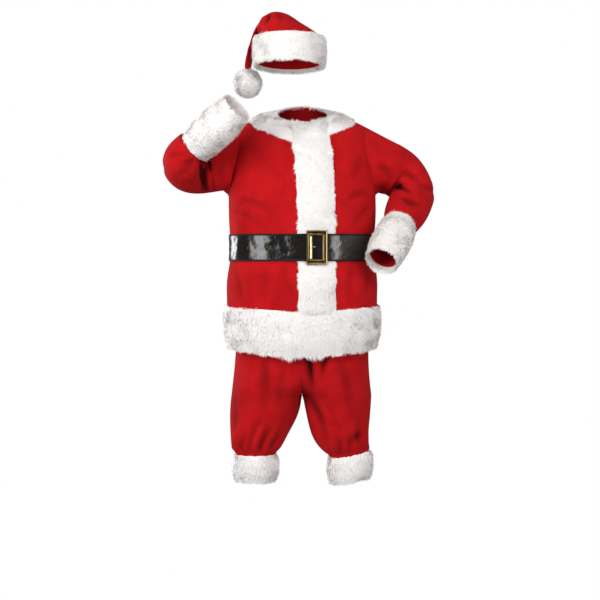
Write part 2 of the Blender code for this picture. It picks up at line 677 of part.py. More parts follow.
def build_leg(suit, name, side, table):
    """One trouser leg, cut in one piece, with its fur cuff."""
    rows = [(height, 0.0) for height in LEG_ROWS]
    for step in range(CROTCH_STEPS + 1):
        turn = 0.5 * math.pi * step / CROTCH_STEPS
        height = CROTCH_HEIGHT + (CROTCH_TOP - CROTCH_HEIGHT) * (1 - math.cos(turn))
        rows.append((height, math.sin(turn)))
    rows += [(height, 1.0) for height in LEG_UPPER_ROWS + (WAIST_ROW - LEG_TOP_GAP,)]
    outer = []
    for height, blend in rows:
        rise = float(smooth_step((height - LEG_CUFF_TOP) / GATHER_RISE))
        fade = float(smooth_step((GATHER_TOP - height) / (GATHER_TOP - LEG_CUFF_TOP)))
        wave = GATHER_DEPTH * rise * fade
        line = [leg_point(side, table, column / LEG_COLUMNS, height, blend, wave)
                for column in range(LEG_COLUMNS + 1)]
        outer.append(line)
    outer = np.array(outer)
    outer[..., 0] += side * SEAM / 2
    for row, (_, blend) in enumerate(rows):
        if blend > 0.0:
            outer[row, [0, -1], 0] = side * SEAM / 2
    normal = grid_normals(outer, [blend == 0.0 for _, blend in rows], mirror=True)
    normal = facing_out(outer, normal, 2)
    suit.add_wall("trouser_" + name, outer, outer - normal * CLOTH, suit.plush)

    shares = np.linspace(0.0, 1.0, 5)
    heights = LEG_CUFF_BOTTOM + shares * (LEG_CUFF_TOP - LEG_CUFF_BOTTOM)
    grids = []
    for extra in (fur_depth(shares), np.zeros(5)):
        grid = []
        for height, depth in zip(heights, extra):
            line = np.array([leg_point(side, table, column / LEG_COLUMNS, height, 0.0, 0.0)
                             for column in range(0, LEG_COLUMNS + 1, 2)])
            outward = line - line[:-1].mean(axis=0)
            outward /= np.linalg.norm(outward, axis=1, keepdims=True)
            grid.append(line + outward * (LEG_CUFF_LAID + depth))
        grids.append(np.array(grid))
    suit.add_wall("fur_" + name.replace("leg", "leg_cuff"), grids[0], grids[1], suit.fur)


def build_waistband(suit):
    """The elastic waistband, pressed against the jacket by the belt."""
    rows = [row for row, values in enumerate(ROWS) if values[0] in (WAIST_ROW, WAISTBAND_TOP)]
    outer = round_grid(rows, -CLOTH - SEAM)
    inner = round_grid(rows, -CLOTH - SEAM - WAISTBAND_THICKNESS)
    suit.add_wall("trouser_waistband", outer, inner, suit.plush)


def tilt_hat(points):
    """Points of the cap turned about the middle of its band, as it sits on the head."""
    pivot = np.array((*HAT_CENTRE, HAT_BAND_HEIGHT - NECK_HEIGHT))
    turn = np.array(Matrix.Rotation(HAT_PITCH, 3, "X") @ Matrix.Rotation(HAT_ROLL, 3, "Y"))
    return pivot + (np.array(points) - pivot) @ turn.T


def cap_ring(row):
    """A ring of the cap: an ellipse between its outer and inner points, across the fold."""
    far_s, far_h, near_s, near_h, wide = row
    flop = np.array((math.cos(HAT_FLOP), math.sin(HAT_FLOP), 0.0))
    across = np.array((-math.sin(HAT_FLOP), math.cos(HAT_FLOP), 0.0))
    base = np.array((*HAT_CENTRE, -NECK_HEIGHT))
    up = np.array((0.0, 0.0, 1.0))
    far = base + far_s * flop + far_h * up
    near = base + near_s * flop + near_h * up
    turns = np.linspace(0.0, 2 * math.pi, CAP_COLUMNS + 1)[:, None]
    points = np.cos(turns) * (far - near) / 2 + np.sin(turns) * across * wide
    return tilt_hat((far + near) / 2 + points)


def build_hat(suit):
    """The cap, its fur band and its pompom."""
    outer = np.array([cap_ring(row) for row in CAP_RINGS])
    normal = facing_out(outer, grid_normals(outer, [True] * len(outer)), 1)
    suit.add_wall("hat_crown", outer, outer - normal * CLOTH, suit.plush)

    section = [(HAT_BAND_INSIDE + HAT_BAND_THICKNESS / 2 * (1 - math.cos(turn)),
                HAT_BAND_HEIGHT - HAT_BAND_WIDTH / 2 * math.sin(turn))
               for turn in np.linspace(0.0, 2 * math.pi, 9)[:-1]]
    shape = bmesh.new()
    rings = []
    for radius, height in section:
        angles = np.arange(CAP_COLUMNS) * 2 * math.pi / CAP_COLUMNS + HAT_FLOP
        level = np.full(CAP_COLUMNS, height - NECK_HEIGHT)
        ring = np.stack([HAT_CENTRE[0] + radius * np.cos(angles),
                         HAT_CENTRE[1] + radius * np.sin(angles), level], axis=1)
        rings.append([shape.verts.new(point) for point in tilt_hat(ring)])
    for ring, other in zip(rings, rings[1:] + rings[:1]):
        for column in range(CAP_COLUMNS):
            after = (column + 1) % CAP_COLUMNS
            shape.faces.new((ring[column], ring[after], other[after], other[column]))
    suit.add("hat_fur_band", shape, suit.fur)

    shape = bmesh.new()
    tip_height = CAP_RINGS[-1][1]
    tip_radius = CAP_RINGS[-1][4]
    seat = math.sqrt(POMPOM_RADIUS ** 2 - tip_radius ** 2)
    centre = Vector(tilt_hat((HAT_CENTRE[0] + POMPOM_REACH * math.cos(HAT_FLOP),
                              HAT_CENTRE[1] + POMPOM_REACH * math.sin(HAT_FLOP),
                              tip_height - SEAM - seat - NECK_HEIGHT)))
    bmesh.ops.create_uvsphere(shape, u_segments=14, v_segments=9, radius=POMPOM_RADIUS,
                              matrix=Matrix.Translation(centre))
    suit.add("hat_pompom", shape, suit.fur)


def clear_scene():
    """Remove what the file opened with."""
    for piece in list(bpy.data.objects):
        bpy.data.objects.remove(piece, do_unlink=True)


def main():
    """Build every piece of the suit."""
    clear_scene()
    suit = Suit()
    build_jacket(suit)
    Sleeve(1.0, LEFT_ARM).build(suit, "sleeve_left", "fur_cuff_left")
    Sleeve(-1.0, RIGHT_ARM).build(suit, "sleeve_right", "fur_cuff_right")
    build_hem_band(suit)
    build_front_band(suit)
    build_collar(suit)
    build_belt(suit)
    build_leg(suit, "leg_right", -1.0, RIGHT_LEG_RINGS)
    build_leg(suit, "leg_left", 1.0, LEFT_LEG_RINGS)
    build_waistband(suit)
    build_hat(suit)


main()
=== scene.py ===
"""Looks of a worn costume suit: plush jacket and trousers, fur trims, vinyl belt and floppy cap.

Units are metres, +Z is up, the front faces -Y and +X is the wearer's left. Heights in the
tables are above the ground that the wearer stands on, NECK_HEIGHT below the origin.
"""
import logging
import math
from dataclasses import dataclass
from enum import Enum
from typing import Any

import bmesh
import bpy
import numpy as np
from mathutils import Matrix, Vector
from mathutils.bvhtree import BVHTree
from mathutils.kdtree import KDTree


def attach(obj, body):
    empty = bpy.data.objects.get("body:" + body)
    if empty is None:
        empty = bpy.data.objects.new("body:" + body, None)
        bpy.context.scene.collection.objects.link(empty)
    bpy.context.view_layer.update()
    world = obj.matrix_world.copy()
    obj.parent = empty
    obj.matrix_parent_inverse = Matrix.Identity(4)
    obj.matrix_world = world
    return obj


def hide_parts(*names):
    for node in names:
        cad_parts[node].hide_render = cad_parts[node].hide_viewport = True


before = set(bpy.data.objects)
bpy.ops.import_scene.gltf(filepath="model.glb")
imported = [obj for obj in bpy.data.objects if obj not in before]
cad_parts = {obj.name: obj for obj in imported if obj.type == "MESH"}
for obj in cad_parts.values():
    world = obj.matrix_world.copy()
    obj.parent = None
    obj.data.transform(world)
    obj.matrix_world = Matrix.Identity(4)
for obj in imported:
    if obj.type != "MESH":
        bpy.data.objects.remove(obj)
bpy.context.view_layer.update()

LOG = logging.getLogger("suit")
NECK_HEIGHT = 1.50
CLOTH_THICKNESS = 0.002
MERGE_DISTANCE = 1e-5
JOIN_ANGLE = math.radians(50.0)
GRID_INFLUENCE = 2.0
SHARP_ANGLE = math.radians(60.0)
RIM_ANGLE = math.radians(25.0)
CLOTH_RIM = 0.0036
FUR_RIM = 0.0052
THROUGH_ROUNDS = 6
BELT_HEIGHT = 1.127
BELT_WIDTH = 0.088
BELT_THICKNESS = 0.003
BELT_CLEAR = 0.0006
EASE = 0.5
EASE_REACH = 0.018
ARMHOLE_FOOT = 1.302
SEAM_TURN = math.radians(40.0)
SEAM_REACH = 0.002
SEAM_QUIET = 2.5
BELT_HOLD = 0.004
BELT_EASE = 0.022
LIP_SHARE = 0.38
LIP_PLACE = 2.1
LIP_WIDTH = 1.1
FACING_FROM = 0.05
FACING_OVER = 0.45
WAVE_COUNT = 14
WAVE_SPREAD = (0.7, 1.6)
WAVE_PEAK = 1.6
RAY_START = 1e-4
WALL_REACH = 0.06
CORE_DEPTH = 0.011
# The backing's place on the fur's colour ramp, near the painted shade of the roots.
BACKING_REACH = 0.12
SWIRL = 0.9
SWIRL_SIZE = 0.05
LEAN_SPREAD = 0.16
LEAN_LIMITS = (0.05, 0.95)
LENGTH_SPREAD = (0.65, 1.2)
WIDTH_SPREAD = (0.7, 1.3)
TWIST_SPREAD = 0.22
RAGGED_SIZE = 0.035
FRINGE_HEIGHT = 0.022
MIDDLE_GATHER = 0.35
MIDDLE_WIDTH = 0.8
MIDDLE_REACH = 0.55
GROUND_NORMAL = 0.82
LOCK_NORMAL = 0.18
STRAP_SEED = 5
CORNER_STEPS = 5
EYELET_STEPS = 10
EYELET_POINTS = 24


class Held(Enum):
    """How a sheet of cloth is held."""

    HUNG = "hung"
    GATHERED = "gathered"
    STRETCHED = "stretched"


class Spread(Enum):
    """The values that a material reads from a piece's own attributes."""

    # The share of painted crease shade at each point.
    CREASE_SHADE = "crease_shade"
    REACH = "reach"


def linear(colour: str) -> tuple[float, float, float, float]:
    """Turn an sRGB hex colour into linear RGBA.

    Args:
        colour: six hex digits after a hash.

    Returns:
        Linear red, green, blue and an alpha of one.
    """
    parts = [int(colour[k:k + 2], 16) / 255 for k in (1, 3, 5)]
    shades = [p / 12.92 if p <= 0.04045 else ((p + 0.055) / 1.055) ** 2.4 for p in parts]
    return (*shades, 1.0)


def per_metre(millimetres: float) -> float:
    """The noise scale whose features are this many millimetres across."""
    return 1000.0 / millimetres


def fill_sockets(node: bpy.types.Node, sockets: dict[str | int, Any]) -> None:
    """Give a node's inputs their values, or link them to other nodes' outputs."""
    for name, value in sockets.items():
        socket = node.inputs[name]
        if isinstance(value, bpy.types.NodeSocket):
            node.id_data.links.new(value, socket)
        else:
            socket.default_value = value


def add_node(tree: bpy.types.NodeTree, kind: str, settings: dict[str, Any] | None = None,
             sockets: dict[str | int, Any] | None = None) -> bpy.types.Node:
    """Add a shader node with its settings, values and links.

    Args:
        tree: the material's node tree.
        kind: the node's type name after ShaderNode.
        settings: attributes of the node.
        sockets: inputs by name or number, with a value or another node's output.

    Returns:
        The new node.
    """
    node = tree.nodes.new("ShaderNode" + kind)
    for name, value in (settings or {}).items():
        setattr(node, name, value)
    fill_sockets(node, sockets or {})
    return node


class Look:
    """A material in the making: its node tree, its shader and the places that it reads."""

    def __init__(self, name: str) -> None:
        """Start a named material on the piece's own coordinates."""
        self.material = bpy.data.materials.new(name)
        self.material.use_nodes = True
        self.tree = self.material.node_tree
        self.shader = self.tree.nodes["Principled BSDF"]
        self.place = add_node(self.tree, "TexCoord").outputs["Object"]

    def noise(self, across_mm: float, detail: float, **sockets: float) -> bpy.types.NodeSocket:
        """Noise whose features are this many millimetres across."""
        return add_node(self.tree, "TexNoise", sockets={
            "Vector": self.place, "Scale": per_metre(across_mm), "Detail": detail,
            **sockets}).outputs["Fac"]

    def spread(self, spread: Spread) -> bpy.types.NodeSocket:
        """One of the values that a piece carries on its points."""
        return add_node(self.tree, "Attribute", {"attribute_name": spread.value}).outputs["Fac"]

    def ranged(self, value: bpy.types.NodeSocket, start: tuple[float, float],
               end: tuple[float, float]) -> bpy.types.NodeSocket:
        """A value moved from one range to another."""
        return add_node(self.tree, "MapRange", sockets={
            "Value": value, "From Min": start[0], "From Max": start[1],
            "To Min": end[0], "To Max": end[1]}).outputs["Result"]

    def ramp(self, value: bpy.types.NodeSocket, *stops: tuple[float, str]) -> bpy.types.NodeSocket:
        """A value turned into a colour, by the sRGB hex colours at a few of its values."""
        ramp = add_node(self.tree, "ValToRGB", sockets={"Fac": value})
        elements = ramp.color_ramp.elements
        while len(elements) < len(stops):
            elements.new(0.5)
        for element, (place, colour) in zip(elements, stops):
            element.position = place
            element.color = linear(colour)
        return ramp.outputs["Color"]

    def blend(self, share: bpy.types.NodeSocket, first: bpy.types.NodeSocket,
              second: str) -> bpy.types.NodeSocket:
        """A colour that turns into an sRGB hex colour where the share is one."""
        return add_node(self.tree, "Mix", {"data_type": "RGBA"}, {
            0: share, 6: first, 7: linear(second)}).outputs[2]

    def bump(self, height: bpy.types.NodeSocket, distance: float, strength: float,
             **sockets: bpy.types.NodeSocket) -> bpy.types.NodeSocket:
        """The normals of a surface raised by this height."""
        return add_node(self.tree, "Bump", sockets={
            "Height": height, "Distance": distance, "Strength": strength,
            **sockets}).outputs["Normal"]


@dataclass(frozen=True)
class VelourPlush:
    """Knitted velour with a short brushed pile: a matt red that glows at grazing angles."""

    bright: str = "#B21116"
    middle: str = "#A90E13"
    brushed: str = "#9F0B10"
    # The colour painted into the deepest creases as painted shade.
    crease_shade: str = "#3C0104"
    nap_patch_mm: float = 90.0
    pile_mm: float = 1.8
    pile_height: float = 0.0004
    roughness: float = 0.9

    def build(self) -> bpy.types.Material:
        """The nap lies in soft patches, and creases are painted darker as painted shade."""
        look = Look("red_velour_plush")
        patches = look.noise(self.nap_patch_mm, 3.0, Roughness=0.55, Distortion=0.6)
        nap = look.ramp(patches, (0.34, self.brushed), (0.5, self.middle), (0.68, self.bright))
        pile = look.noise(self.pile_mm, 2.0, Roughness=0.7)
        tinted = add_node(look.tree, "VectorMath", {"operation": "SCALE"}, {
            0: nap, "Scale": look.ranged(pile, (0.3, 0.7), (0.93, 1.05))}).outputs["Vector"]
        fill_sockets(look.shader, {
            # Painted shade: creases are darkened towards the crease colour by their depth.
            "Base Color": look.blend(look.spread(Spread.CREASE_SHADE), tinted, self.crease_shade),
            "Normal": look.bump(pile, self.pile_height, 0.55), "Roughness": self.roughness,
            "Specular IOR Level": 0.10, "Sheen Weight": 0.10, "Sheen Roughness": 0.5,
            "Sheen Tint": linear("#E8444A")})
        return look.material


@dataclass(frozen=True)
class FauxFur:
    """White acrylic fur: soft locks, painted a little warmer and darker at their roots as painted
    shade deep in the pile.
    """

    # Painted shade: the roots, and the backing near them, are painted darker where the locks shade
    # each other.
    root: str = "#F3EFEC"
    middle: str = "#FBF8F6"
    tip: str = "#FFFEFD"
    tuft_mm: float = 14.0
    let_through: float = 0.15

    def build(self) -> bpy.types.Material:
        """Colour follows each lock from its painted-shade root to its tip and drifts from tuft to
        tuft.
        """
        look = Look("white_faux_fur")
        drift = look.ranged(look.noise(self.tuft_mm, 2.0), (0.3, 0.7), (-0.12, 0.12))
        along = add_node(look.tree, "Math", {"operation": "ADD"}, {
            0: look.spread(Spread.REACH), 1: drift}).outputs["Value"]
        shade = look.ramp(along, (0.0, self.root), (0.35, self.middle), (0.85, self.tip))
        fill_sockets(look.shader, {
            "Base Color": shade, "Roughness": 0.8, "Specular IOR Level": 0.15,
            "Sheen Weight": 0.2, "Sheen Roughness": 0.5, "Sheen Tint": linear("#FFFFFF")})
        through = add_node(look.tree, "BsdfTranslucent", sockets={"Color": shade})
        soft = add_node(look.tree, "MixShader", sockets={
            0: self.let_through, 1: look.shader.outputs["BSDF"], 2: through.outputs["BSDF"]})
        fill_sockets(look.tree.nodes["Material Output"], {"Surface": soft.outputs["Shader"]})
        return look.material


@dataclass(frozen=True)
class PatentVinyl:
    """Glossy black vinyl sheet on a cloth backing: hard reflections broken by a crackled grain."""

    base: str = "#0D0B0A"
    worn: str = "#1D1A18"
    grain_mm: float = 5.0
    crackle_mm: float = 14.0
    roughness: tuple[float, float] = (0.09, 0.24)

    def build(self) -> bpy.types.Material:
        """Gloss in the middle, with a shallow grain that splits the highlights."""
        look = Look("black_patent_vinyl")
        grain = look.noise(self.grain_mm, 4.0, Roughness=0.6)
        crackle = add_node(look.tree, "TexVoronoi", {"feature": "DISTANCE_TO_EDGE"}, {
            "Vector": look.place, "Scale": per_metre(self.crackle_mm)})
        lines = look.ranged(crackle.outputs["Distance"], (0.0, 0.10), (0.0, 1.0))
        fill_sockets(look.shader, {
            "Base Color": look.ramp(grain, (0.35, self.base), (0.75, self.worn)),
            "Roughness": look.ranged(grain, (0.3, 0.7), self.roughness),
            "Normal": look.bump(grain, 0.0008, 0.4, Normal=look.bump(lines, 0.0004, 0.35)),
            "IOR": 1.52, "Coat Weight": 0.35, "Coat Roughness": 0.12})
        return look.material


@dataclass(frozen=True)
class TurnedEdge:
    """The strap's turned and pressed edge: the same vinyl rubbed matt, without its gloss."""

    base: str = "#090706"
    rubbed: str = "#151210"
    grain_mm: float = 2.5

    def build(self) -> bpy.types.Material:
        """A dull fine-grained black."""
        look = Look("matt_vinyl_edge")
        grain = look.noise(self.grain_mm, 3.0)
        fill_sockets(look.shader, {
            "Base Color": look.ramp(grain, (0.4, self.base), (0.7, self.rubbed)),
            "Normal": look.bump(grain, 0.0003, 0.5), "Roughness": 0.7, "IOR": 1.36})
        return look.material


@dataclass(frozen=True)
class AntiqueBrass:
    """Cast zinc with antiqued brass plating: dark in hollows, and bright on its rims from rubbed
    plating and a painted highlight.
    """

    name: str = "antique_brass_plate"
    dark: str = "#3A2A12"
    plate: str = "#6F5628"
    # Rubbed plating with a painted highlight on the raised rims.
    rubbed: str = "#E6D09C"
    patina_mm: float = 9.0
    roughness: float = 0.30

    def build(self) -> bpy.types.Material:
        """Patina drifts over the plating, and the raised rims are painted bright, as polished
        plating and painted highlight.
        """
        look = Look(self.name)
        patina = look.noise(self.patina_mm, 4.0)
        plate = look.ramp(patina, (0.35, self.dark), (0.65, self.plate))
        fill_sockets(look.shader, {
            "Base Color": look.blend(look.spread(Spread.REACH), plate, self.rubbed),
            "Normal": look.bump(patina, 0.0002, 0.3), "Metallic": 1.0,
            "Roughness": self.roughness})
        return look.material


@dataclass(frozen=True)
class Finishes:
    """Every material of the suit."""

    plush: bpy.types.Material
    fur: bpy.types.Material
    vinyl: bpy.types.Material
    edge: bpy.types.Material
    brass: bpy.types.Material
    highlight_and_wear_brass: bpy.types.Material

    @classmethod
    def build(cls) -> "Finishes":
        """Make each finish once."""
        return cls(VelourPlush().build(), FauxFur().build(), PatentVinyl().build(),
                   TurnedEdge().build(), AntiqueBrass().build(),
                   # The bar's and prong's lighter brass is mostly painted highlight, partly rubbed
                   # plating.
                   AntiqueBrass("highlight_and_wear_brass_bar", "#B79A63", "#EAD7A8", roughness=0.24).build())


def smooth_step(values: np.ndarray) -> np.ndarray:
    """Ease from 0 to 1 over the unit range."""
    part = np.clip(values, 0.0, 1.0)
    return part * part * (3.0 - 2.0 * part)


def points_of(mesh: bpy.types.Mesh) -> np.ndarray:
    """Every vertex place of a mesh."""
    places = np.empty(len(mesh.vertices) * 3)
    mesh.vertices.foreach_get("co", places)
    return places.reshape(-1, 3)


def normals_of(mesh: bpy.types.Mesh) -> np.ndarray:
    """Every vertex normal of a mesh."""
    normals = np.empty(len(mesh.vertices) * 3)
    mesh.vertices.foreach_get("normal", normals)
    return normals.reshape(-1, 3)


def move_points(mesh: bpy.types.Mesh, places: np.ndarray) -> None:
    """Put every vertex of a mesh in a new place."""
    mesh.vertices.foreach_set("co", places.ravel())
    mesh.update()


def add_spread(mesh: bpy.types.Mesh, spread: Spread, values: np.ndarray) -> None:
    """Store one value a vertex for the material."""
    layer = mesh.attributes.new(spread.value, "FLOAT", "POINT")
    layer.data.foreach_set("value", values.astype(np.float32))


def quads_of(node: str) -> bmesh.types.BMesh:
    """A merged copy of a CAD node's mesh, with its triangles joined to quads.

    Args:
        node: the CAD node's name.

    Returns:
        A new bmesh that the caller frees.
    """
    shape = bmesh.new()
    shape.from_mesh(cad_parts[node].data)
    bmesh.ops.remove_doubles(shape, verts=shape.verts, dist=MERGE_DISTANCE)
    bmesh.ops.join_triangles(shape, faces=shape.faces, angle_face_threshold=JOIN_ANGLE,
                             angle_shape_threshold=math.pi, topology_influence=GRID_INFLUENCE)
    return shape


def is_rim(face: bmesh.types.BMFace, width: float) -> bool:
    """Whether a face is a narrow strip, as those along a wall's edge are."""
    full = face.calc_area() * (2.0 if len(face.verts) == 3 else 1.0)
    return full < width * max(edge.calc_length() for edge in face.edges)


def outer_faces(shape: bmesh.types.BMesh, rim: float,
                sharp: float = math.pi) -> set[bmesh.types.BMFace]:
    """The outer side of a wall: its largest stretch of faces that no edge of the wall crosses.

    Args:
        shape: the wall.
        rim: how wide the strips along its edges are at most.
        sharp: the angle over which any edge ends the stretch.

    Returns:
        The faces of the outer side.
    """
    rims = {face for face in shape.faces if is_rim(face, rim)}
    left = set(shape.faces)
    best: set[bmesh.types.BMFace] = set()
    best_area = 0.0
    while left:
        start = left.pop()
        found, queue = {start}, [start]
        while queue:
            face = queue.pop()
            for edge in face.edges:
                if len(edge.link_faces) != 2:
                    continue
                angle = edge.calc_face_angle(0.0)
                by_rim = any(other in rims for other in edge.link_faces)
                if angle > sharp or (by_rim and angle > RIM_ANGLE):
                    continue
                for other in edge.link_faces:
                    if other in left:
                        left.discard(other)
                        found.add(other)
                        queue.append(other)
        area = sum(face.calc_area() for face in found)
        if area > best_area:
            best, best_area = found, area
    return best


def outer_sheet(node: str) -> bmesh.types.BMesh:
    """The outer side of a CAD wall as an open sheet, which the caller frees."""
    shape = quads_of(node)
    outer = outer_faces(shape, CLOTH_RIM)
    LOG.info("%s: %d outer of %d faces", node, len(outer), len(shape.faces))
    bmesh.ops.delete(shape, geom=[face for face in shape.faces if face not in outer],
                     context="FACES")
    return shape


def finished_mesh(piece: bpy.types.Object, name: str) -> bpy.types.Mesh:
    """A piece's mesh with its modifiers applied."""
    bpy.context.view_layer.update()
    graph = bpy.context.evaluated_depsgraph_get()
    mesh = bpy.data.meshes.new_from_object(piece.evaluated_get(graph))
    mesh.name = name
    return mesh


def link(name: str, mesh: bpy.types.Mesh) -> bpy.types.Object:
    """A new object in the scene."""
    piece = bpy.data.objects.new(name, mesh)
    bpy.context.scene.collection.objects.link(piece)
    return piece


def walled(sheet: bpy.types.Mesh, name: str, thickness: float,
           *finishes: bpy.types.Material) -> bpy.types.Mesh:
    """An open sheet given its thickness on the inside.

    Args:
        sheet: the outer side.
        name: the new mesh's name.
        thickness: how thick it gets.
        finishes: its materials.

    Returns:
        The closed mesh, smooth but for its sharp edges.
    """
    holder = link(name + "_sheet", sheet)
    wall = holder.modifiers.new("wall", "SOLIDIFY")
    wall.thickness = thickness
    wall.offset = -1.0
    mesh = finished_mesh(holder, name)
    bpy.data.objects.remove(holder)
    mesh.shade_smooth()
    mesh.set_sharp_from_angle(angle=SHARP_ANGLE)
    mesh.materials.clear()
    for finish in finishes:
        mesh.materials.append(finish)
    return mesh


def placed(name: str, mesh: bpy.types.Mesh, node: str) -> bpy.types.Object:
    """A finished piece that stands for one CAD node.

    Args:
        name: the piece's name.
        mesh: its finished mesh.
        node: the CAD node that it replaces.

    Returns:
        The piece, on the suit's one body.
    """
    piece = link(name, mesh)
    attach(piece, "root")
    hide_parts(node)
    LOG.info("%s: %d faces", name, len(mesh.polygons))
    return piece


class SeamCorners:
    """The places where seams meet, so that neighbouring pieces run alike up to them."""

    def __init__(self) -> None:
        """Start with none."""
        self.places: list[Vector] = []

    def mark(self, shape: bmesh.types.BMesh) -> None:
        """Keep the sharp turns of a sheet's outline, and the corners that its neighbours have.

        Args:
            shape: the open sheet, whose corners get a full crease.
        """
        layer = shape.verts.layers.float.new("crease_vert")
        for vert in shape.verts:
            border = [edge.other_vert(vert).co for edge in vert.link_edges if edge.is_boundary]
            if len(border) != 2:
                continue
            turn = (border[0] - vert.co).angle(vert.co - border[1], 0.0)
            shared = any((place - vert.co).length < SEAM_REACH for place in self.places)
            if turn > SEAM_TURN or shared:
                vert[layer] = 1.0
                if not shared:
                    self.places.append(vert.co.copy())


def smooth_through(shape: bmesh.types.BMesh, level: int, name: str) -> bpy.types.Mesh:
    """Subdivide a shape so that the smooth surface still passes through its own points.

    Args:
        shape: the coarse shape, which is freed here.
        level: how many times it is subdivided.
        name: the new mesh's name.

    Returns:
        The smooth mesh.
    """
    coarse = bpy.data.meshes.new(name + "_coarse")
    shape.to_mesh(coarse)
    shape.free()
    holder = link(name + "_coarse", coarse)
    smooth = holder.modifiers.new("smooth", "SUBSURF")
    smooth.levels = smooth.render_levels = 1
    smooth.boundary_smooth = "PRESERVE_CORNERS"
    target = points_of(coarse)
    control = target.copy()
    for _ in range(THROUGH_ROUNDS):
        step = finished_mesh(holder, name + "_step")
        control = control + target - points_of(step)[:len(target)]
        move_points(coarse, control)
        bpy.data.meshes.remove(step)
    smooth.levels = smooth.render_levels = level
    mesh = finished_mesh(holder, name)
    bpy.data.objects.remove(holder)
    bpy.data.meshes.remove(coarse)
    return mesh


class View(Enum):
    """The side that something is seen from, in degrees round the suit from its front."""

    FRONT = 0
    LEFT = 90
    BACK = 180
    RIGHT = 270


@dataclass(frozen=True)
class Crease:
    """A soft trough in the cloth, as seen from one side.

    Attributes:
        view: the side that it is seen from.
        start: where it starts, across that view and above the ground.
        end: where it ends.
        width: half the trough's width.
        depth: how deep it is at its deepest; below zero it is a ridge.
        bow: how far its middle is drawn sideways.
        peak: the share of its length at which it is deepest.
    """

    view: View
    start: tuple[float, float]
    end: tuple[float, float]
    width: float
    depth: float
    bow: float
    peak: float = 0.35


def creases(tables: dict[View, tuple[tuple[float, ...], ...]]) -> tuple[Crease, ...]:
    """The creases of a piece, from its tables.

    Args:
        tables: for each side, a row for each crease, in millimetres: where it starts across
            that view and above the ground, where it ends, its width, its depth and its bow,
            and then its peak where it isn't the usual one.

    Returns:
        The creases, in metres.
    """
    found = []
    for view, rows in tables.items():
        for row in rows:
            left, low, right, high, width, depth, bow = (value / 1000 for value in row[:7])
            found.append(Crease(view, (left, low), (right, high), width, depth, bow, *row[7:]))
    return tuple(found)


def crease_depth(points: np.ndarray, normals: np.ndarray,
                 creases: tuple[Crease, ...]) -> np.ndarray:
    """How far a set of creases presses each point in.

    Args:
        points: the surface's points.
        normals: its outward normals.
        creases: the troughs and ridges to press into it.

    Returns:
        The depth at each point; below zero where the cloth rises.
    """
    depth = np.zeros(len(points))
    for crease in creases:
        turn = math.radians(crease.view.value)
        right = np.array((math.cos(turn), math.sin(turn), 0.0))
        toward = np.array((math.sin(turn), -math.cos(turn), 0.0))
        flat = np.stack([points @ right, points[:, 2] + NECK_HEIGHT], axis=1)
        start = np.array(crease.start)
        run = np.array(crease.end) - start
        length = float(np.linalg.norm(run))
        side = np.array((-run[1], run[0])) / length
        share = np.clip((flat - start) @ run / length ** 2, 0.0, 1.0)
        bend = crease.bow * 4.0 * share * (1.0 - share)
        line = start + share[:, None] * run + bend[:, None] * side
        gap = np.linalg.norm(flat - line, axis=1) / crease.width
        early, late = 2.0 * crease.peak, 2.0 * (1.0 - crease.peak)
        best = crease.peak ** early * (1.0 - crease.peak) ** late
        taper = share ** early * (1.0 - share) ** late / best
        lips = LIP_SHARE * np.exp(-((gap - LIP_PLACE) / LIP_WIDTH) ** 2)
        shape = np.exp(-gap ** 2) - lips
        facing = smooth_step((normals @ toward + FACING_FROM) / FACING_OVER)
        depth += crease.depth * taper * shape * facing
    return depth


def soft_waves(points: np.ndarray, size: float, seed: int) -> np.ndarray:
    """A smooth uneven field.

    Args:
        points: where it is read.
        size: how far across its swells are, more or less.
        seed: the seed of its random draws.

    Returns:
        Its value at each point, between about -1 and 1.
    """
    draw = np.random.default_rng(seed)
    total = np.zeros(len(points))
    for _ in range(WAVE_COUNT):
        way = draw.normal(size=3)
        way *= 2.0 * math.pi / (size * draw.uniform(*WAVE_SPREAD)) / np.linalg.norm(way)
        total += np.sin(points @ way + draw.uniform(0.0, 2.0 * math.pi))
    return total / math.sqrt(WAVE_COUNT / 2.0) / WAVE_PEAK


def relaxed(mesh: bpy.types.Mesh, points: np.ndarray, rounds: int, free: np.ndarray) -> np.ndarray:
    """Points eased towards their neighbours, so that kinks of the coarse form fade.

    Args:
        mesh: the sheet.
        points: its points.
        rounds: how often they are eased.
        free: how far each point may follow, from 0 to 1.

    Returns:
        The eased points.
    """
    ends = np.empty(len(mesh.edges) * 2, dtype=np.int32)
    mesh.edges.foreach_get("vertices", ends)
    first, second = ends[0::2], ends[1::2]
    count = np.bincount(ends, minlength=len(points))[:, None]
    for _ in range(rounds):
        total = np.zeros_like(points)
        np.add.at(total, first, points[second])
        np.add.at(total, second, points[first])
        points = points + EASE * free[:, None] * (total / count - points)
    return points


def tree_of(places: list[Vector] | np.ndarray) -> KDTree:
    """A search tree over places."""
    tree = KDTree(len(places))
    for index, place in enumerate(places):
        tree.insert(place, index)
    tree.balance()
    return tree


def edge_distance(mesh: bpy.types.Mesh, points: np.ndarray) -> np.ndarray:
    """Each point's distance to the open edge of a sheet."""
    shape = bmesh.new()
    shape.from_mesh(mesh)
    border = [vert.co.copy() for vert in shape.verts if vert.is_boundary]
    shape.free()
    tree = tree_of(border)
    return np.array([tree.find(point)[2] for point in points])


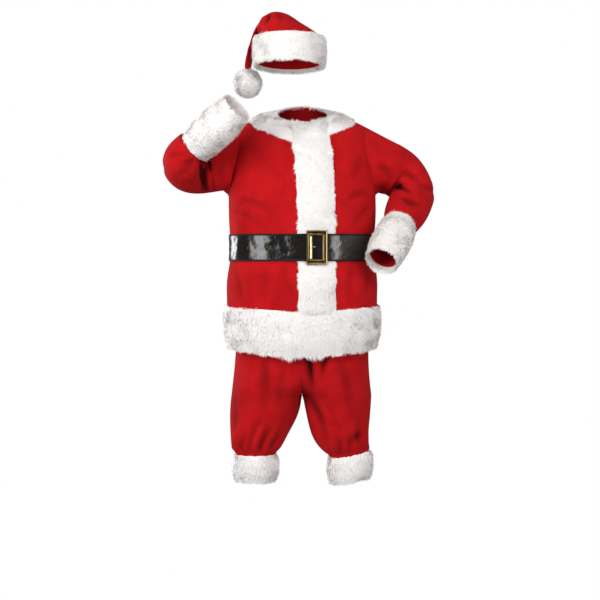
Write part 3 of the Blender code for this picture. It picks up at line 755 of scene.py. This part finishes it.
@dataclass
class ClothPiece:
    """One sewn piece of plush: a thin shell on its solid's form, with its creases.

    Attributes:
        node: the CAD node that it stands for.
        flat: the width and length of its cut; not used.
        area: the cut's flat area; not used.
        held: how it is held; not used.
        rests_on: what carries it; not used.
        creases: its main creases.
        level: how finely it is divided.
        swell: how far its uneven fullness moves it.
        swell_size: how far apart those swells are.
        belted: true where the belt holds it flat.
        seam_width: how wide its sewn edges are pressed.
        seam_depth: how deep they are pressed.
        fold_shade: the crease depth at which the painted crease shade turns darkest.
        ease: how many rounds soften the kinks of its coarse form.
        ease_height: the height round which they do; all over where it is zero.
    """

    node: str
    flat: tuple[float, float]
    area: float
    held: Held
    rests_on: tuple[str, ...]
    creases: tuple[Crease, ...] = ()
    level: int = 3
    swell: float = 0.0012
    swell_size: float = 0.16
    belted: bool = False
    seam_width: float = 0.006
    seam_depth: float = 0.0005
    fold_shade: float = 0.009
    ease: int = 0
    ease_height: float = 0.0

    def shaped(self, corners: SeamCorners) -> bpy.types.Mesh:
        """The outer side, smoothed, swelled and creased."""
        shape = outer_sheet(self.node)
        corners.mark(shape)
        mesh = smooth_through(shape, self.level, self.node + "_cloth")
        border = edge_distance(mesh, points_of(mesh))
        sewn = smooth_step(border / (SEAM_QUIET * self.seam_width))
        if self.ease:
            points, free = points_of(mesh), sewn
            if self.ease_height:
                away = (points[:, 2] + NECK_HEIGHT - self.ease_height) / EASE_REACH
                free = sewn * np.exp(-away ** 2)
            move_points(mesh, relaxed(mesh, points, self.ease, free))
        points, normals = points_of(mesh), normals_of(mesh)
        pressed = crease_depth(points, normals, self.creases)
        rise = self.swell * soft_waves(points, self.swell_size, len(self.node)) * sewn
        rise -= pressed * smooth_step(border / self.seam_width)
        rise -= self.seam_depth * np.exp(-(border / self.seam_width) ** 2)
        if self.belted:
            away = np.abs(points[:, 2] + NECK_HEIGHT - BELT_HEIGHT) - BELT_WIDTH / 2
            rise *= smooth_step((away + BELT_HOLD) / BELT_EASE)
        move_points(mesh, points + normals * rise[:, None])
        # Painted shade: how far each point is darkened, from its crease depth.
        add_spread(mesh, Spread.CREASE_SHADE, np.clip(pressed / self.fold_shade, 0.0, 1.0))
        return mesh

    def build(self, finish: bpy.types.Material, corners: SeamCorners) -> bpy.types.Object:
        """Give the sheet its thickness and its place in the suit.

        Args:
            finish: the plush.
            corners: the places where its seams meet others.

        Returns:
            The finished piece.
        """
        name = self.node + "_plush"
        mesh = walled(self.shaped(corners), name, CLOTH_THICKNESS, finish)
        piece = placed(name, mesh, self.node)
        return piece


@dataclass(frozen=True)
class Pile:
    """How a fur's locks grow.

    Attributes:
        locks: how many there are.
        length: a lock's length.
        width: its width at the root.
        lean: how far it leans over, from 0, upright, to 1, flat.
        droop: how far its tip sinks under its own weight, as a share of its length.
        stray: how much its direction wanders.
        gather: how far the locks of a tuft are drawn together.
        tuft: how many locks make a tuft.
        fringe: how much longer the locks grow along the lower edge, in ragged tufts.
    """

    locks: int
    length: float = 0.012
    width: float = 0.0020
    lean: float = 0.66
    droop: float = 0.2
    stray: float = 0.38
    gather: float = 0.24
    tuft: int = 10
    fringe: float = 0.0


def unit(rows: np.ndarray) -> np.ndarray:
    """Each row at a length of one."""
    return rows / np.maximum(np.linalg.norm(rows, axis=1, keepdims=True), 1e-9)


def beside_belt(roots: np.ndarray, places: np.ndarray) -> np.ndarray:
    """Places of locks kept off the strap, on the side of it where each lock is rooted."""
    middle = BELT_HEIGHT - NECK_HEIGHT
    half = BELT_WIDTH / 2 + BELT_CLEAR
    height = np.where(roots[:, 2] > middle, np.maximum(places[:, 2], middle + half),
                      np.minimum(places[:, 2], middle - half))
    return np.column_stack([places[:, :2], height])


def triangle_mesh(name: str, points: np.ndarray, corners: np.ndarray) -> bpy.types.Mesh:
    """A mesh from arrays.

    Args:
        name: its name.
        points: its points.
        corners: three points' numbers for each of its triangles.

    Returns:
        The mesh.
    """
    mesh = bpy.data.meshes.new(name)
    mesh.vertices.add(len(points))
    mesh.vertices.foreach_set("co", points.astype(np.float32).ravel())
    mesh.loops.add(corners.size)
    mesh.loops.foreach_set("vertex_index", corners.astype(np.int32).ravel())
    mesh.polygons.add(len(corners))
    mesh.polygons.foreach_set("loop_start", np.arange(0, corners.size, 3, dtype=np.int32))
    mesh.update(calc_edges=True)
    return mesh


@dataclass
class FurTrim:
    """A fur trim: a thin backing inside its solid, covered with short locks.

    Attributes:
        node: the CAD node that it stands for.
        pile: how its locks grow.
        seed: the seed of its random draws.
        core: how much of the solid's thickness the backing keeps.
        lay: the direction in which the pile is brushed.
        level: how finely the backing is divided.
        belted: true where the belt crosses it and keeps its locks off the strap.
    """

    node: str
    pile: Pile
    seed: int
    core: float = 0.62
    lay: tuple[float, float, float] = (0.0, 0.0, -1.0)
    level: int = 2
    belted: bool = False

    def backing(self) -> tuple[np.ndarray, np.ndarray, np.ndarray, np.ndarray]:
        """The backing's points, normals and triangles, and which of them the fur grows on."""
        shape = quads_of(self.node)
        grows = shape.faces.layers.int.new("grows")
        solid = BVHTree.FromBMesh(shape)
        outer = outer_faces(shape, FUR_RIM, SHARP_ANGLE)
        LOG.info("%s: %d outer of %d faces", self.node, len(outer), len(shape.faces))
        shape.normal_update()
        moves = {}
        grown = {vert for face in outer for vert in face.verts}
        for vert in grown:
            inward = -vert.normal
            hit = solid.ray_cast(vert.co + inward * RAY_START, inward, WALL_REACH)
            depth = hit[3] if hit[0] is not None else 0.0
            moves[vert] = vert.co + inward * min(depth * (1.0 - self.core), CORE_DEPTH)
        for face in shape.faces:
            face[grows] = int(any(vert in grown for vert in face.verts))
        for vert, place in moves.items():
            vert.co = place
        mesh = smooth_through(shape, self.level, self.node + "_backing")
        mesh.calc_loop_triangles()
        corners = np.empty(len(mesh.loop_triangles) * 3, dtype=np.int32)
        mesh.loop_triangles.foreach_get("vertices", corners)
        owners = np.empty(len(mesh.loop_triangles), dtype=np.int32)
        mesh.loop_triangles.foreach_get("polygon_index", owners)
        growing = np.zeros(len(mesh.polygons), dtype=np.int32)
        mesh.attributes["grows"].data.foreach_get("value", growing)
        points, normals = points_of(mesh), normals_of(mesh)
        bpy.data.meshes.remove(mesh)
        return points, normals, corners.reshape(-1, 3), growing[owners] > 0

    def rooted(self, points: np.ndarray, corners: np.ndarray,
               draw: np.random.Generator) -> tuple[np.ndarray, np.ndarray]:
        """Spread the roots evenly over triangles.

        Args:
            points: the backing's points.
            corners: the triangles that the fur grows on.
            draw: the seeded random draws.

        Returns:
            The roots, and the surface's normals there.
        """
        a, b, c = (points[corners[:, k]] for k in range(3))
        cross = np.cross(b - a, c - a)
        area = np.linalg.norm(cross, axis=1)
        picks = draw.choice(len(corners), size=self.pile.locks, p=area / area.sum())
        u, v = draw.random((2, self.pile.locks))
        flip = u + v > 1.0
        u, v = np.where(flip, 1.0 - u, u), np.where(flip, 1.0 - v, v)
        roots = a[picks] + u[:, None] * (b - a)[picks] + v[:, None] * (c - a)[picks]
        return roots, unit(cross[picks])

    def locks(self, roots: np.ndarray, normals: np.ndarray,
              draw: np.random.Generator) -> tuple[np.ndarray, np.ndarray, np.ndarray, np.ndarray]:
        """Curved tapering locks on their roots.

        Args:
            roots: where they grow.
            normals: the surface's normals there.
            draw: the seeded random draws.

        Returns:
            Their points, normals and triangles, and how far along its lock each point is.
        """
        pile, count = self.pile, len(roots)
        swirl = np.stack([soft_waves(roots, SWIRL_SIZE, self.seed + k) for k in range(3)], axis=1)
        lay = np.array(self.lay) + SWIRL * swirl + pile.stray * draw.normal(size=(count, 3))
        lay = unit(lay - np.sum(lay * normals, axis=1, keepdims=True) * normals)
        lean = np.clip(pile.lean + LEAN_SPREAD * draw.normal(size=count), *LEAN_LIMITS)[:, None]
        way = unit(normals * (1.0 - lean) + lay * lean)
        length = pile.length * draw.uniform(*LENGTH_SPREAD, size=(count, 1))
        above = (roots[:, 2:] - roots[:, 2].min()) / FRINGE_HEIGHT
        ragged = 0.5 + 0.5 * soft_waves(roots, RAGGED_SIZE, self.seed + 7)[:, None]
        longer = pile.fringe * np.clip(ragged, 0.0, 1.0) * (1.0 - smooth_step(above))
        length = length * (1.0 + longer)
        sink = np.array((0.0, 0.0, -1.0)) * pile.droop
        middle = roots + way * length * 0.5
        tip = roots + unit(way + sink) * length
        heads = draw.choice(count, size=max(count // pile.tuft, 1), replace=False)
        tree = tree_of(roots[heads])
        nearest = np.array([heads[tree.find(root)[1]] for root in roots])
        tip = tip + pile.gather * (tip[nearest] - tip)
        middle = middle + MIDDLE_GATHER * pile.gather * (middle[nearest] - middle)
        if self.belted:
            middle, tip = beside_belt(roots, middle), beside_belt(roots, tip)
        across = unit(np.cross(way, normals + TWIST_SPREAD * draw.normal(size=(count, 3))))
        half = 0.5 * pile.width * draw.uniform(*WIDTH_SPREAD, size=(count, 1))
        side, waist = across * half, across * half * MIDDLE_WIDTH
        points = np.stack([roots - side, roots + side, middle - waist, middle + waist, tip], axis=1)
        facing = unit(GROUND_NORMAL * normals + LOCK_NORMAL * unit(np.cross(across, way)))
        start = np.arange(count)[:, None, None] * 5
        corners = start + np.array(((0, 1, 3), (0, 3, 2), (2, 3, 4)))[None]
        reach = np.tile((0.0, 0.0, MIDDLE_REACH, MIDDLE_REACH, 1.0), count)
        return (points.reshape(-1, 3), np.repeat(facing, 5, axis=0), corners.reshape(-1, 3),
                reach)

    def build(self, finish: bpy.types.Material) -> bpy.types.Object:
        """Grow the fur on its backing.

        Args:
            finish: the fur.

        Returns:
            The finished piece.
        """
        draw = np.random.default_rng(self.seed)
        points, point_normals, corners, grows = self.backing()
        roots, normals = self.rooted(points, corners[grows], draw)
        if self.belted:
            clear = np.abs(roots[:, 2] + NECK_HEIGHT - BELT_HEIGHT) > BELT_WIDTH / 2
            roots, normals = roots[clear], normals[clear]
        hair, hair_normals, hair_corners, reach = self.locks(roots, normals, draw)
        mesh = triangle_mesh(self.node + "_fur", np.concatenate([points, hair]),
                             np.concatenate([corners, hair_corners + len(points)]))
        # The backing takes the roots' painted shade; the locks grow lighter towards their tips.
        add_spread(mesh, Spread.REACH,
                   np.concatenate([np.full(len(points), BACKING_REACH), reach]))
        mesh.shade_smooth()
        mesh.normals_split_custom_set_from_vertices(np.concatenate([point_normals, hair_normals]))
        mesh.materials.append(finish)
        return placed(self.node + "_fur", mesh, self.node)


@dataclass
class Jacket:
    """The belted jacket: three body panels and two sleeves."""

    front_creases: tuple[Crease, ...] = creases({
        View.FRONT: (
            (-205, 1285, -90, 1235, 16, 3.5, 10), (-222, 1255, -130, 1190, 13, 2.8, 6),
            (-225, 1060, -190, 930, 12, 3.4, 6, 0.4), (-120, 1070, -130, 950, 15, 2.2, 4),
            (-60, 1075, -30, 960, 12, 1.8, -4), (215, 1310, 120, 1260, 15, 3.4, -8),
            (228, 1270, 160, 1190, 12, 2.6, -6), (215, 1062, 200, 950, 12, 2.6, 4),
            (165, 1068, 150, 960, 14, 2, -4), (190, 1440, 150, 1330, 16, 2.2, 8))})
    back_creases: tuple[Crease, ...] = creases({
        View.BACK: (
            (-205, 1300, -80, 1250, 17, 3.6, 10), (-222, 1262, -120, 1195, 14, 2.8, 8),
            (208, 1295, 95, 1240, 16, 3.4, -10), (224, 1250, 140, 1192, 13, 2.6, -6),
            (-150, 1072, -165, 940, 14, 2.8, 6), (-55, 1072, -45, 950, 15, 2.2, -5),
            (50, 1072, 70, 960, 13, 2.4, 5), (160, 1070, 185, 945, 15, 2.8, 5),
            (-20, 1185, -35, 1270, 15, 1.8, 4), (85, 1185, 95, 1255, 13, 1.8, 4))})
    left_creases: tuple[Crease, ...] = creases({
        View.FRONT: (
            (305, 1335, 372, 1290, 10, 7.5, 6, 0.3), (300, 1310, 345, 1350, 9, 5, 4, 0.3),
            (318, 1300, 395, 1265, 12, 5, -8, 0.4), (330, 1375, 400, 1330, 14, 3.4, 8),
            (250, 1400, 300, 1350, 16, 3, 6), (300, 1230, 380, 1215, 9, 3.4, 4)),
        View.BACK: (
            (-330, 1370, -420, 1320, 14, 4, 8), (-300, 1310, -400, 1270, 14, 4.6, -8),
            (-300, 1230, -390, 1220, 10, 3.4, 4)),
        View.LEFT: (
            (-60, 1330, 50, 1290, 13, 3, 6),)})
    right_creases: tuple[Crease, ...] = creases({
        View.FRONT: (
            (-322, 1432, -332, 1288, 9.5, 8, 6, 0.55), (-306, 1435, -308, 1280, 9.5, 11, -4, 0.55),
            (-292, 1432, -282, 1288, 9, 8, -6, 0.55), (-318, 1395, -345, 1325, 10, 5, 4, 0.4),
            (-330, 1400, -420, 1372, 11, 4.6, -8, 0.3), (-340, 1382, -415, 1345, 10, 3.2, -6, 0.4),
            (-350, 1425, -430, 1428, 13, 2.8, 6), (-268, 1400, -262, 1335, 9, 3.4, -3, 0.4)),
        View.BACK: (
            (300, 1430, 310, 1340, 13, 5, 6), (330, 1400, 430, 1370, 14, 4.4, 8),
            (260, 1420, 262, 1350, 12, 3.6, -5)),
        View.RIGHT: (
            (60, 1410, 190, 1360, 14, 3, 6),)})

    def pieces(self) -> list[ClothPiece]:
        """The five cut pieces."""
        panels = (("jacket_back", (0.66, 0.83), 0.50, self.back_creases),
                  ("jacket_front_left", (0.32, 0.80), 0.20, self.front_creases),
                  ("jacket_front_right", (0.40, 0.80), 0.26, self.front_creases))
        sleeves = (("sleeve_left", (0.58, 0.60), 0.22, self.left_creases),
                   ("sleeve_right", (0.58, 0.56), 0.22, self.right_creases))
        body = [ClothPiece(node, flat, area, Held.HUNG, ("fur_collar_fur",), folds,
                           belted=True, ease=60, ease_height=ARMHOLE_FOOT)
                for node, flat, area, folds in panels]
        arms = [ClothPiece(node, flat, area, Held.HUNG, ("jacket_back_plush",), folds,
                           fold_shade=0.0065)
                for node, flat, area, folds in sleeves]
        return body + arms


@dataclass
class Trousers:
    """The bloused trousers: two legs on an elastic waistband."""

    right_creases: tuple[Crease, ...] = creases({
        View.FRONT: (
            (-122, 770, -128, 560, 22, 4.6, 6), (-60, 760, -70, 560, 18, 4, -6),
            (-205, 455, -165, 560, 11, 5.6, 6, 0.3), (-175, 455, -130, 580, 12, 6, 8, 0.3),
            (-145, 450, -92, 545, 11, 5.8, 6, 0.3), (-112, 458, -60, 520, 9, 4.4, 4, 0.3),
            (-228, 500, -222, 690, 14, 3.6, -4)),
        View.BACK: (
            (125, 780, 135, 560, 22, 5, 6), (60, 740, 80, 590, 18, 4.2, 6),
            (190, 455, 155, 570, 12, 5.8, 6, 0.3), (150, 450, 120, 560, 12, 5.6, 6, 0.3),
            (115, 455, 80, 530, 10, 4.8, 4, 0.3)),
        View.RIGHT: (
            (0, 460, 20, 620, 13, 4.6, 4, 0.3), (-40, 460, -30, 600, 11, 4.4, -4, 0.3))})
    left_creases: tuple[Crease, ...] = creases({
        View.FRONT: (
            (20, 785, 28, 640, 12, 10.5, 4, 0.3), (78, 790, 62, 665, 12, 8.5, -4, 0.2),
            (10, 650, 85, 475, 15, 7.5, 12, 0.3), (36, 660, 130, 500, 15, 4, 12, 0.3),
            (120, 770, 160, 560, 20, 3.6, 8), (210, 525, 150, 470, 13, 3.6, -8, 0.4),
            (172, 502, 212, 486, 11, 3, 4, 0.5), (120, 440, 135, 520, 11, 4.2, 2, 0.35),
            (155, 448, 165, 530, 11, 3.8, 2, 0.35), (188, 455, 190, 560, 12, 3.8, 4, 0.35)),
        View.BACK: (
            (-125, 780, -130, 570, 22, 5, 6), (-60, 740, -75, 590, 18, 4.4, 6),
            (-185, 455, -160, 565, 12, 5.8, 6, 0.3), (-150, 450, -118, 560, 12, 5.6, 6, 0.3),
            (-115, 450, -85, 530, 10, 4.8, 4, 0.3)),
        View.LEFT: (
            (0, 460, 20, 620, 13, 4.6, 4, 0.3), (-40, 460, -30, 600, 11, 4.4, -4, 0.3))})

    def pieces(self) -> list[ClothPiece]:
        """The three cut pieces."""
        legs = [ClothPiece(node, (0.75, 0.68), 0.44, Held.GATHERED, ("trouser_waistband_plush",),
                           folds, level=2, swell=0.0022, ease=14)
                for node, folds in (("trouser_leg_right", self.right_creases),
                                    ("trouser_leg_left", self.left_creases))]
        return legs + [
            ClothPiece("trouser_waistband", (1.33, 0.014), 0.0185, Held.STRETCHED,
                       ("jacket_back_plush",), level=1, swell=0.0, seam_depth=0.0)]


@dataclass
class Cap:
    """The floppy cap with its fur band and pompom."""

    creases: tuple[Crease, ...] = creases({
        View.FRONT: (
            (-108, 1905, -128, 1862, 9, 7.5, 4, 0.3), (-80, 1905, -70, 1868, 12, 4, 4, 0.3),
            (-40, 1900, 0, 1868, 14, 3.4, 6, 0.4), (-140, 1862, -165, 1810, 9, 3.6, 4, 0.4),
            (-176, 1800, -186, 1745, 8, 3, 3, 0.4)),
        View.BACK: (
            (90, 1895, 125, 1850, 12, 5, -6, 0.4), (140, 1850, 172, 1790, 10, 4, 4, 0.4),
            (40, 1895, 60, 1850, 13, 3.6, 4, 0.4)),
        View.LEFT: (
            (80, 1900, 130, 1850, 12, 4, 6, 0.4),)})

    def pieces(self) -> list[ClothPiece]:
        """The cone."""
        return [ClothPiece("hat_crown", (0.58, 0.38), 0.13, Held.HUNG, ("hat_fur_band_fur",),
                           self.creases, swell=0.0016, swell_size=0.09)]


@dataclass
class Trims:
    """Every fur trim of the suit."""

    hem: Pile = Pile(48000, 0.012, fringe=1.0)
    front: Pile = Pile(24000, 0.011)
    collar: Pile = Pile(19000, 0.011)
    cuff: Pile = Pile(15000, 0.011)
    leg_cuff: Pile = Pile(11000, 0.011)
    cap_band: Pile = Pile(18000, 0.011)
    pompom: Pile = Pile(9000, 0.013, lean=0.55, droop=0.10)

    def pieces(self) -> list[FurTrim]:
        """The nine trims."""
        return [
            FurTrim("fur_hem_band", self.hem, 11),
            FurTrim("fur_front_band", self.front, 12, belted=True),
            FurTrim("fur_collar", self.collar, 13),
            FurTrim("fur_cuff_left", self.cuff, 14, lay=(-0.3, -0.6, -0.7)),
            FurTrim("fur_cuff_right", self.cuff, 15, lay=(0.6, -0.3, 0.7)),
            FurTrim("fur_leg_cuff_left", self.leg_cuff, 16),
            FurTrim("fur_leg_cuff_right", self.leg_cuff, 17),
            FurTrim("hat_fur_band", self.cap_band, 18),
            FurTrim("hat_pompom", self.pompom, 19)]


def ring_mesh(name: str, rings: list[np.ndarray]) -> bpy.types.Mesh:
    """A closed solid through loops of points.

    Args:
        name: the mesh's name.
        rings: loops with as many points each; the last one joins the first.

    Returns:
        The mesh.
    """
    shape = bmesh.new()
    loops = [[shape.verts.new(point) for point in ring] for ring in rings]
    for loop, other in zip(loops, loops[1:] + loops[:1]):
        for corner in range(len(loop)):
            after = (corner + 1) % len(loop)
            shape.faces.new((loop[corner], loop[after], other[after], other[corner]))
    bmesh.ops.recalc_face_normals(shape, faces=shape.faces)
    mesh = bpy.data.meshes.new(name)
    shape.to_mesh(mesh)
    shape.free()
    return mesh


def rounded_corners(low: np.ndarray, high: np.ndarray, radius: float) -> np.ndarray:
    """An upright rectangle's outline with rounded corners, in two dimensions.

    Args:
        low: its lower left corner.
        high: its upper right corner.
        radius: how round its corners are.

    Returns:
        The outline's points, counterclockwise.
    """
    outline = []
    for number, (x, y) in enumerate(((high[0], high[1]), (low[0], high[1]),
                                     (low[0], low[1]), (high[0], low[1]))):
        middle = np.array((x - math.copysign(radius, x), y - math.copysign(radius, y)))
        for step in range(CORNER_STEPS):
            turn = math.pi / 2 * (number + step / (CORNER_STEPS - 1))
            outline.append(middle + radius * np.array((math.cos(turn), math.sin(turn))))
    return np.array(outline)


@dataclass
class Belt:
    """The vinyl belt with its buckle, bar, prong and eyelets.

    Attributes:
        margin: how wide the matt turned edge is.
        level: how finely the strap is divided.
        crinkle: how high the strap's crinkles stand.
        crinkles: the crinkles' sizes, each with its share of that height.
        gloss_over: the width over which the crinkles set in beside the edge.
        groove: the depth and the width of the groove between edge and face.
        rims: the buckle's profile, as shares from outer to inner edge and heights.
        bright_over: the height over which its rims are painted bright, as rubbed plating and
            painted highlight.
        rail: how far the buckle's window stays inside its top and bottom at least.
        rounding: the radii of the buckle's outer and inner corners.
        eyelet_lift: how high an eyelet's tube lies and stands, as shares of its radius.
    """

    strap_node: str = "belt_strap"
    buckle_node: str = "belt_buckle"
    eyelets: tuple[str, ...] = ("belt_eyelet_1", "belt_eyelet_2", "belt_eyelet_3", "belt_eyelet_4")
    margin: float = 0.0055
    level: int = 3
    crinkle: float = 0.0007
    crinkles: tuple[tuple[float, float], ...] = ((0.034, 1.0), (0.015, 0.7))
    gloss_over: float = 0.006
    groove: tuple[float, float] = (0.0005, 0.0022)
    rims: tuple[tuple[float, float], ...] = (
        (0.0, 0.0), (0.0, 0.0050), (0.05, 0.0065), (0.12, 0.0070), (0.19, 0.0066),
        (0.25, 0.0050), (0.31, 0.0042), (0.74, 0.0042), (0.80, 0.0050), (0.86, 0.0064),
        (0.94, 0.0066), (1.0, 0.0054), (1.0, 0.0))
    bright_over: float = 0.00655
    rail: float = 0.010
    rounding: tuple[float, float] = (0.003, 0.0015)
    eyelet_radius: float = 0.0045
    eyelet_tube: float = 0.0013
    eyelet_lift: tuple[float, float] = (0.3, 0.7)

    def strap(self, finishes: Finishes) -> bpy.types.Object:
        """A smooth strap with a crinkled glossy face between matt turned edges."""
        mesh = smooth_through(outer_sheet(self.strap_node), self.level, self.strap_node + "_face")
        points, normals = points_of(mesh), normals_of(mesh)
        from_edge = BELT_WIDTH / 2 - np.abs(points[:, 2] + NECK_HEIGHT - BELT_HEIGHT)
        glossy = smooth_step((from_edge - self.margin) / self.gloss_over)
        waves = sum(share * soft_waves(points, size, STRAP_SEED + number)
                    for number, (size, share) in enumerate(self.crinkles))
        deep, wide = self.groove
        rise = self.crinkle * glossy * waves
        rise -= deep * np.exp(-((from_edge - self.margin) / wide) ** 2)
        move_points(mesh, points + normals * rise[:, None])
        name = self.strap_node + "_vinyl"
        mesh = walled(mesh, name, BELT_THICKNESS, finishes.vinyl, finishes.edge)
        middle = BELT_HEIGHT - NECK_HEIGHT
        for face in mesh.polygons:
            face.material_index = int(BELT_WIDTH / 2 - abs(face.center.z - middle) < self.margin)
        return placed(name, mesh, self.strap_node)

    def buckle(self, finishes: Finishes) -> bpy.types.Object:
        """The frame with a raised rim along both its edges and a dark channel between them."""
        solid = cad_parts[self.buckle_node].data
        front = max((face for face in solid.polygons if face.normal.y < -0.5),
                    key=lambda face: face.area)
        outward = np.array(front.normal)
        up = np.array((0.0, 0.0, 1.0))
        right = np.cross(up, outward)
        corners = points_of(solid)
        flat = np.stack([corners @ right, corners @ up], axis=1)
        base = (corners @ outward).min()
        middle = (flat.min(axis=0) + flat.max(axis=0)) / 2
        flat = flat - middle
        high = flat.max(axis=0)
        inside = flat[np.abs(flat[:, 1]) < high[1] - self.rail]
        outer = rounded_corners(-high, high, self.rounding[0])
        inner = rounded_corners(inside.min(axis=0), inside.max(axis=0), self.rounding[1])
        rings = []
        for share, height in self.rims:
            ring = middle + outer * (1.0 - share) + inner * share
            rings.append(ring[:, :1] * right + ring[:, 1:] * up + (base + height) * outward)
        name = self.buckle_node + "_brass"
        mesh = ring_mesh(name, rings)
        # Painted highlight and rubbed plating: the raised rims get the bright brass colour.
        rubbed = (points_of(mesh) @ outward - base > self.bright_over).astype(float)
        add_spread(mesh, Spread.REACH, rubbed)
        mesh.shade_smooth()
        mesh.set_sharp_from_angle(angle=SHARP_ANGLE)
        mesh.materials.append(finishes.brass)
        return placed(name, mesh, self.buckle_node)

    def eyelet(self, node: str, face: BVHTree, finish: bpy.types.Material) -> bpy.types.Object:
        """A rolled metal ring on the strap's face, where the solid has it.

        Args:
            node: the CAD node that it stands for.
            face: the finished strap.
            finish: the brass.

        Returns:
            The finished piece.
        """
        middle = points_of(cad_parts[node].data).mean(axis=0)
        place, normal, _, _ = face.find_nearest(Vector(middle))
        turn = normal.to_track_quat("Y", "Z").to_matrix()
        low, high = self.eyelet_lift
        angles = np.linspace(0.0, 2.0 * math.pi, EYELET_POINTS, endpoint=False)
        rings = []
        for step in range(EYELET_STEPS):
            around = 2.0 * math.pi * step / EYELET_STEPS
            reach = self.eyelet_radius + self.eyelet_tube * math.cos(around)
            lift = self.eyelet_tube * (low + high * math.sin(around))
            ring = [Vector((reach * math.cos(angle), lift, reach * math.sin(angle)))
                    for angle in angles]
            rings.append(np.array([place + turn @ point for point in ring]))
        mesh = ring_mesh(node + "_brass", rings)
        mesh.shade_smooth()
        mesh.materials.append(finish)
        return placed(node + "_brass", mesh, node)

    def build(self, finishes: Finishes) -> None:
        """Make the strap and its metal."""
        strap = self.strap(finishes)
        self.buckle(finishes)
        face = BVHTree.FromPolygons([vert.co for vert in strap.data.vertices],
                                    [tuple(part.vertices) for part in strap.data.polygons])
        for node in self.eyelets:
            self.eyelet(node, face, finishes.brass)
        # Painted highlight: the bar and prong get the lighter brass.
        for name in ("belt_bar", "belt_prong"):
            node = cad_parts[name]
            node.data.materials.clear()
            node.data.materials.append(finishes.highlight_and_wear_brass)


@dataclass(frozen=True)
class Softbox:
    """A rectangular studio light.

    Attributes:
        name: its name.
        place: where it stands.
        size: its width and height.
        power: its power in watts.
    """

    name: str
    place: tuple[float, float, float]
    size: tuple[float, float]
    power: float


@dataclass
class Studio:
    """A white studio: softboxes to both sides and the photograph's camera."""

    aim: tuple[float, float, float] = (-0.007, 0.0, -0.547)
    camera: tuple[float, float, float] = (-0.007, -5.5, -0.40)
    lens: float = 99.0
    surroundings: float = 0.38
    reflected: float = 0.10
    softboxes: tuple[Softbox, ...] = (
        Softbox("left_box", (-2.72, -2.52, 0.1), (1.8, 2.6), 88.0),
        Softbox("right_box", (2.5, -2.78, 0.0), (1.3, 2.4), 52.0),
        Softbox("front_box", (-0.4, -4.2, 2.4), (3.0, 1.6), 108.0),
        Softbox("behind_left", (-2.6, 1.9, -0.2), (1.0, 2.2), 40.0))

    def stand(self, data: bpy.types.Light | bpy.types.Camera,
              place: tuple[float, float, float]) -> bpy.types.Object:
        """Stand a light or the camera in its place, facing the suit."""
        stood = bpy.data.objects.new(data.name, data)
        stood.location = place
        sight = Vector(self.aim) - Vector(place)
        stood.rotation_euler = sight.to_track_quat("-Z", "Y").to_euler()
        bpy.context.scene.collection.objects.link(stood)
        return stood

    def light(self, box: Softbox) -> None:
        """Set up one softbox."""
        data = bpy.data.lights.new(box.name, "AREA")
        data.shape = "RECTANGLE"
        data.size, data.size_y = box.size
        data.energy = box.power
        self.stand(data, box.place)

    def surround(self) -> None:
        """White behind the suit, and dimmer walls for what they light and are mirrored in."""
        world = bpy.data.worlds.new("studio")
        world.use_nodes = True
        tree = world.node_tree
        rays = add_node(tree, "LightPath")
        walls = add_node(tree, "MapRange", sockets={
            "Value": rays.outputs["Is Glossy Ray"], "To Min": self.surroundings,
            "To Max": self.reflected})
        strength = add_node(tree, "Mix", {"data_type": "FLOAT"}, {
            0: rays.outputs["Is Camera Ray"], 2: walls.outputs["Result"], 3: 1.0})
        fill_sockets(tree.nodes["Background"], {
            "Color": (1.0, 1.0, 1.0, 1.0), "Strength": strength.outputs[0]})
        bpy.context.scene.world = world
        bpy.context.scene.view_settings.view_transform = "Standard"

    def build(self) -> None:
        """Set up the surroundings, the lights and the camera."""
        self.surround()
        for box in self.softboxes:
            self.light(box)
        data = bpy.data.cameras.new("view")
        data.lens = self.lens
        data.sensor_width = 36.0
        bpy.context.scene.camera = self.stand(data, self.camera)


def main() -> None:
    """Build every part of the suit in order."""
    logging.basicConfig(level=logging.INFO, format="%(message)s")
    Studio().build()
    finishes = Finishes.build()
    for garment in (Jacket(), Trousers(), Cap()):
        corners = SeamCorners()
        for cloth in garment.pieces():
            cloth.build(finishes.plush, corners)
    for trim in Trims().pieces():
        trim.build(finishes.fur)
    Belt().build(finishes)


if __name__ == "__main__":
    main()
